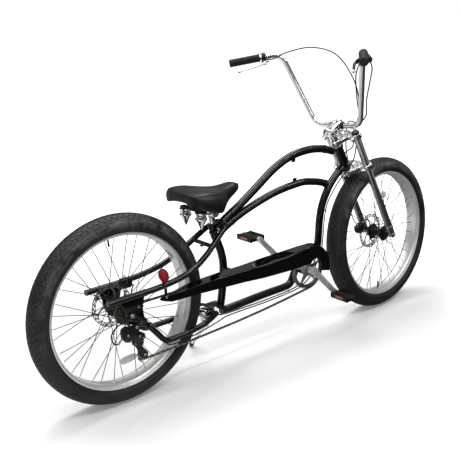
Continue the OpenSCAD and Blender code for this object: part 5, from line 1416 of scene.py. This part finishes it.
def saddle_under():
    g = Geo()
    for s in (-1, 1):
        y = s * 48
        z0 = SADDLE_Z - 148
        g.lathe([(0.01, 0), (3, 1), (5, 5), (12, 21), (17.5, 32), (22, 37.6), (23, 40), (23, 43.5), (22, 45), (12, 46)], 36,
                at=(335, y, z0), axis=(0, 0, 1))
        g.lathe([(12, 49), (19, 49.4), (20, 50.4), (20, 53.6), (19, 54.6), (12, 55)], 36, at=(335, y, z0), axis=(0, 0, 1))
        g.lathe([(12, 58), (22, 59), (23, 60.5), (23, 65.4), (12, 66)], 36, at=(335, y, z0), axis=(0, 0, 1))
        g.tube(smooth([(335, s * 22, SADDLE_Z - 79), (370, s * 22, SADDLE_Z - 98), (400, s * 22, SADDLE_Z - 104),
                       (440, s * 21, SADDLE_Z - 100), (482, s * 16, SADDLE_Z - 50)], 6), 3.9, 16)
    piece("saddle_rails_bumpers", g, BIKE, CHROME, "frame", ["saddle_frame"], angle=34)
    g = Geo()
    for s in (-1, 1):
        g.lathe([(0.01, 44), (11, 44), (12, 47), (11, 52), (12, 57), (11, 60), (0.01, 60)], 30,
                at=(335, s * 48, SADDLE_Z - 148), axis=(0, 0, 1))
    g.prism([(322.5, SADDLE_Z - 82.6), (347.5, SADDLE_Z - 82.6), (347.5, SADDLE_Z - 75), (344, SADDLE_Z - 72.6),
             (326, SADDLE_Z - 72.6), (322.5, SADDLE_Z - 75)], -65.6, 65.6)
    piece("saddle_cross_bar", g, BIKE, BLACKM, "frame", angle=34, bevel=1.6)
    # Seat post and its serrated clamp
    g = Geo()
    g.rod((423, 0, 566), (418, 0, 616), 13, 40)
    g.prism([(404, 613), (430, 613), (432, 618), (432, 628), (428, 633), (406, 633), (402, 628), (402, 618)], -30.6, 30.6)
    piece("seat_post_clamp", g, BIKE, CHROME, "frame", ["seat_post"], angle=34, bevel=1.8)
    g = Geo()
    for s in (-1, 1):
        pts = toothed(26, 13.2, 14.6)
        g.ring([(417 + x, 623 + z) for x, z in pts], circle(5, len(pts), 417, 623), min(s * 26, s * 33), max(s * 26, s * 33))
        g.bolt((417, s * 33, 623), (0, s, 0), 7.5, 5)
        g.lathe([(0.01, 9), (3, 9), (4.4, 8), (4.4, 4)], 18, at=(417, s * 33, 623), axis=(0, s, 0))
    piece("seat_clamp_serrations", g, BIKE, ROTOR, "frame", angle=28)
    g = Geo()
    g.lathe([(13.2, 0), (17.5, 0), (18.5, 1.5), (18.5, 14), (17.5, 15.5), (13.2, 15.5)], 36, at=(423, 0, 563), axis=(-0.1, 0, 1))
    g.box((438, -4, 566), (450, 4, 578))
    piece("seat_collar", g, BIKE, BLACKM, "frame", angle=32, bevel=1.2)


# Side stand and the bracket behind the seat tube
PIV = V((398, 44, 186))
FOOT_Z = 190 * math.tan(rad(LEAN)) - (346.8 - AXLE_Z) + 4.8


def stand():
    foot = V((435, 190, FOOT_Z))
    leg = (foot - PIV).normalized()
    ax = V((0, 0, 1)).cross(leg)
    return foot, leg


def side_stand(ax, foot):
    leg = (foot - (PIV - 24 * ax)).normalized()
    p0 = PIV - 24 * ax
    ln = (foot - p0).length
    g = Geo()
    g.rod(p0, p0 + leg * (ln - 12), 8, 32)
    g.lathe([(8, 0), (12, 2), (13, 4), (13, 13), (12, 15), (6, 15.6)], 36, at=PIV - 31 * ax, axis=ax)
    g.rod(PIV - 28 * ax, PIV + 22 * ax, 5.95, 28)
    piece("stand_leg", g, BIKE, CHROME, "side_stand", ["side_stand"], angle=34)
    g = Geo()
    g.lathe([(8.1, 0), (9.4, 1.5), (9.8, 6), (9.8, 20), (9.0, 27), (5, 30.4), (0.01, 31.4)], 32, at=foot - leg * 29, axis=leg)
    piece("stand_foot_cap", g, BIKE, PLASTIC, "side_stand", angle=40)
    g = Geo()
    coil = []
    a, b = PIV - 22 * ax + leg * 18, PIV + V((-2, -10, 30))
    d = (b - a).normalized()
    u = d.cross(ax).normalized()
    v = d.cross(u)
    g.bolt(PIV - 31 * ax, -ax, 8.5, 5)
    piece("stand_pivot_bolt", g, BIKE, ROTOR, "side_stand", angle=30)


def stand_plate(ax):
    g = Geo()
    slab(g, [(350, -49), (358, -46), (408, -25), (408, 42), (350, 49)], 216, 223)
    g.box((386, 6, 187), (406, 42, 217))
    g.box((360, -20, 222), (406, 20, 247))
    piece("stand_plate", g, BIKE, CHROME, "frame", ["stand_bracket"], angle=32, bevel=2.2, segs=3)
    g = Geo()
    g.lathe([(6.1, -14), (11, -14), (12, -12.6), (12, 12.6), (11, 14), (6.1, 14)], 32, at=PIV, axis=ax)
    for p in ((366, -30, 223), (366, 30, 223), (394, 24, 223)):
        g.bolt(p, (0, 0, 1), 6, 4.4)
    piece("stand_sleeve", g, BIKE, ROTOR, "frame", angle=32)


def stand_axis():
    foot = V((435, 190, FOOT_Z))
    fold = V((-0.985, 0.17, -0.03)).normalized()
    return (foot - PIV).normalized().cross(fold).normalized(), foot


def dropout_hardware():
    g = Geo()
    for s in (-1, 1):
        # Axle nut stack outside each plate, and the bolt that ties the seat stay to the plate
        g.lathe([(5, 0), (11.4, 0), (12, 1), (12, 2.4), (5, 2.4)], 36, at=(0, s * 82, AXLE_Z), axis=(0, s, 0))
        g.bolt((40, s * 79.4, 372), (0, s, 0), 8.5, 4.6)
        g.bolt((-42, s * 79.4, 376), (0, s, 0), 6, 4)
    piece("dropout_bolts", g, BIKE, BLACKM, "frame", angle=30)


# What is left of the solids and shows: give each slot's solids their finish
FINISH = {"frame_paint": PAINT, "chrome": CHROME, "reflector_red": RED, "saddle_vinyl": VINYL, "black_metal": BLACKM,
          "chain_steel": CHAINM, "cable_black": CABLE, "tyre": TYREM, "rim_alloy": ALLOY, "spoke_steel": STEEL,
          "rotor_steel": ROTOR, "grip_rubber": GRIP, "lever_alloy": CRANKALU, "black_plastic": PLASTIC,
          "crank_alloy": CRANKALU}

AX, FOOT = stand_axis()
chain()
derailleur()
chainring()
cranks()
pedal(1, "pedal_left")
pedal(-1, "pedal_right")
guard()
crowns()
legs()
bars()
controls()
calipers()
cables()
saddle()
saddle_under()
side_stand(AX, FOOT)
stand_plate(AX)
dropout_hardware()
reflector("rear", REAR, 198, -83.8, 0, "rear_wheel")
reflector("front", FRONT, 174.5, 49.1, 0, "front_wheel", (16, 18))

for node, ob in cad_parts.items():
    if not ob.hide_render:
        kept = [m.name.split(".")[0] for m in ob.data.materials if m]
        print("shown CAD node", node, kept)
        for i, m in enumerate(ob.data.materials):
            ob.data.materials[i] = FINISH.get(kept[i] if i < len(kept) else "", BLACKM)
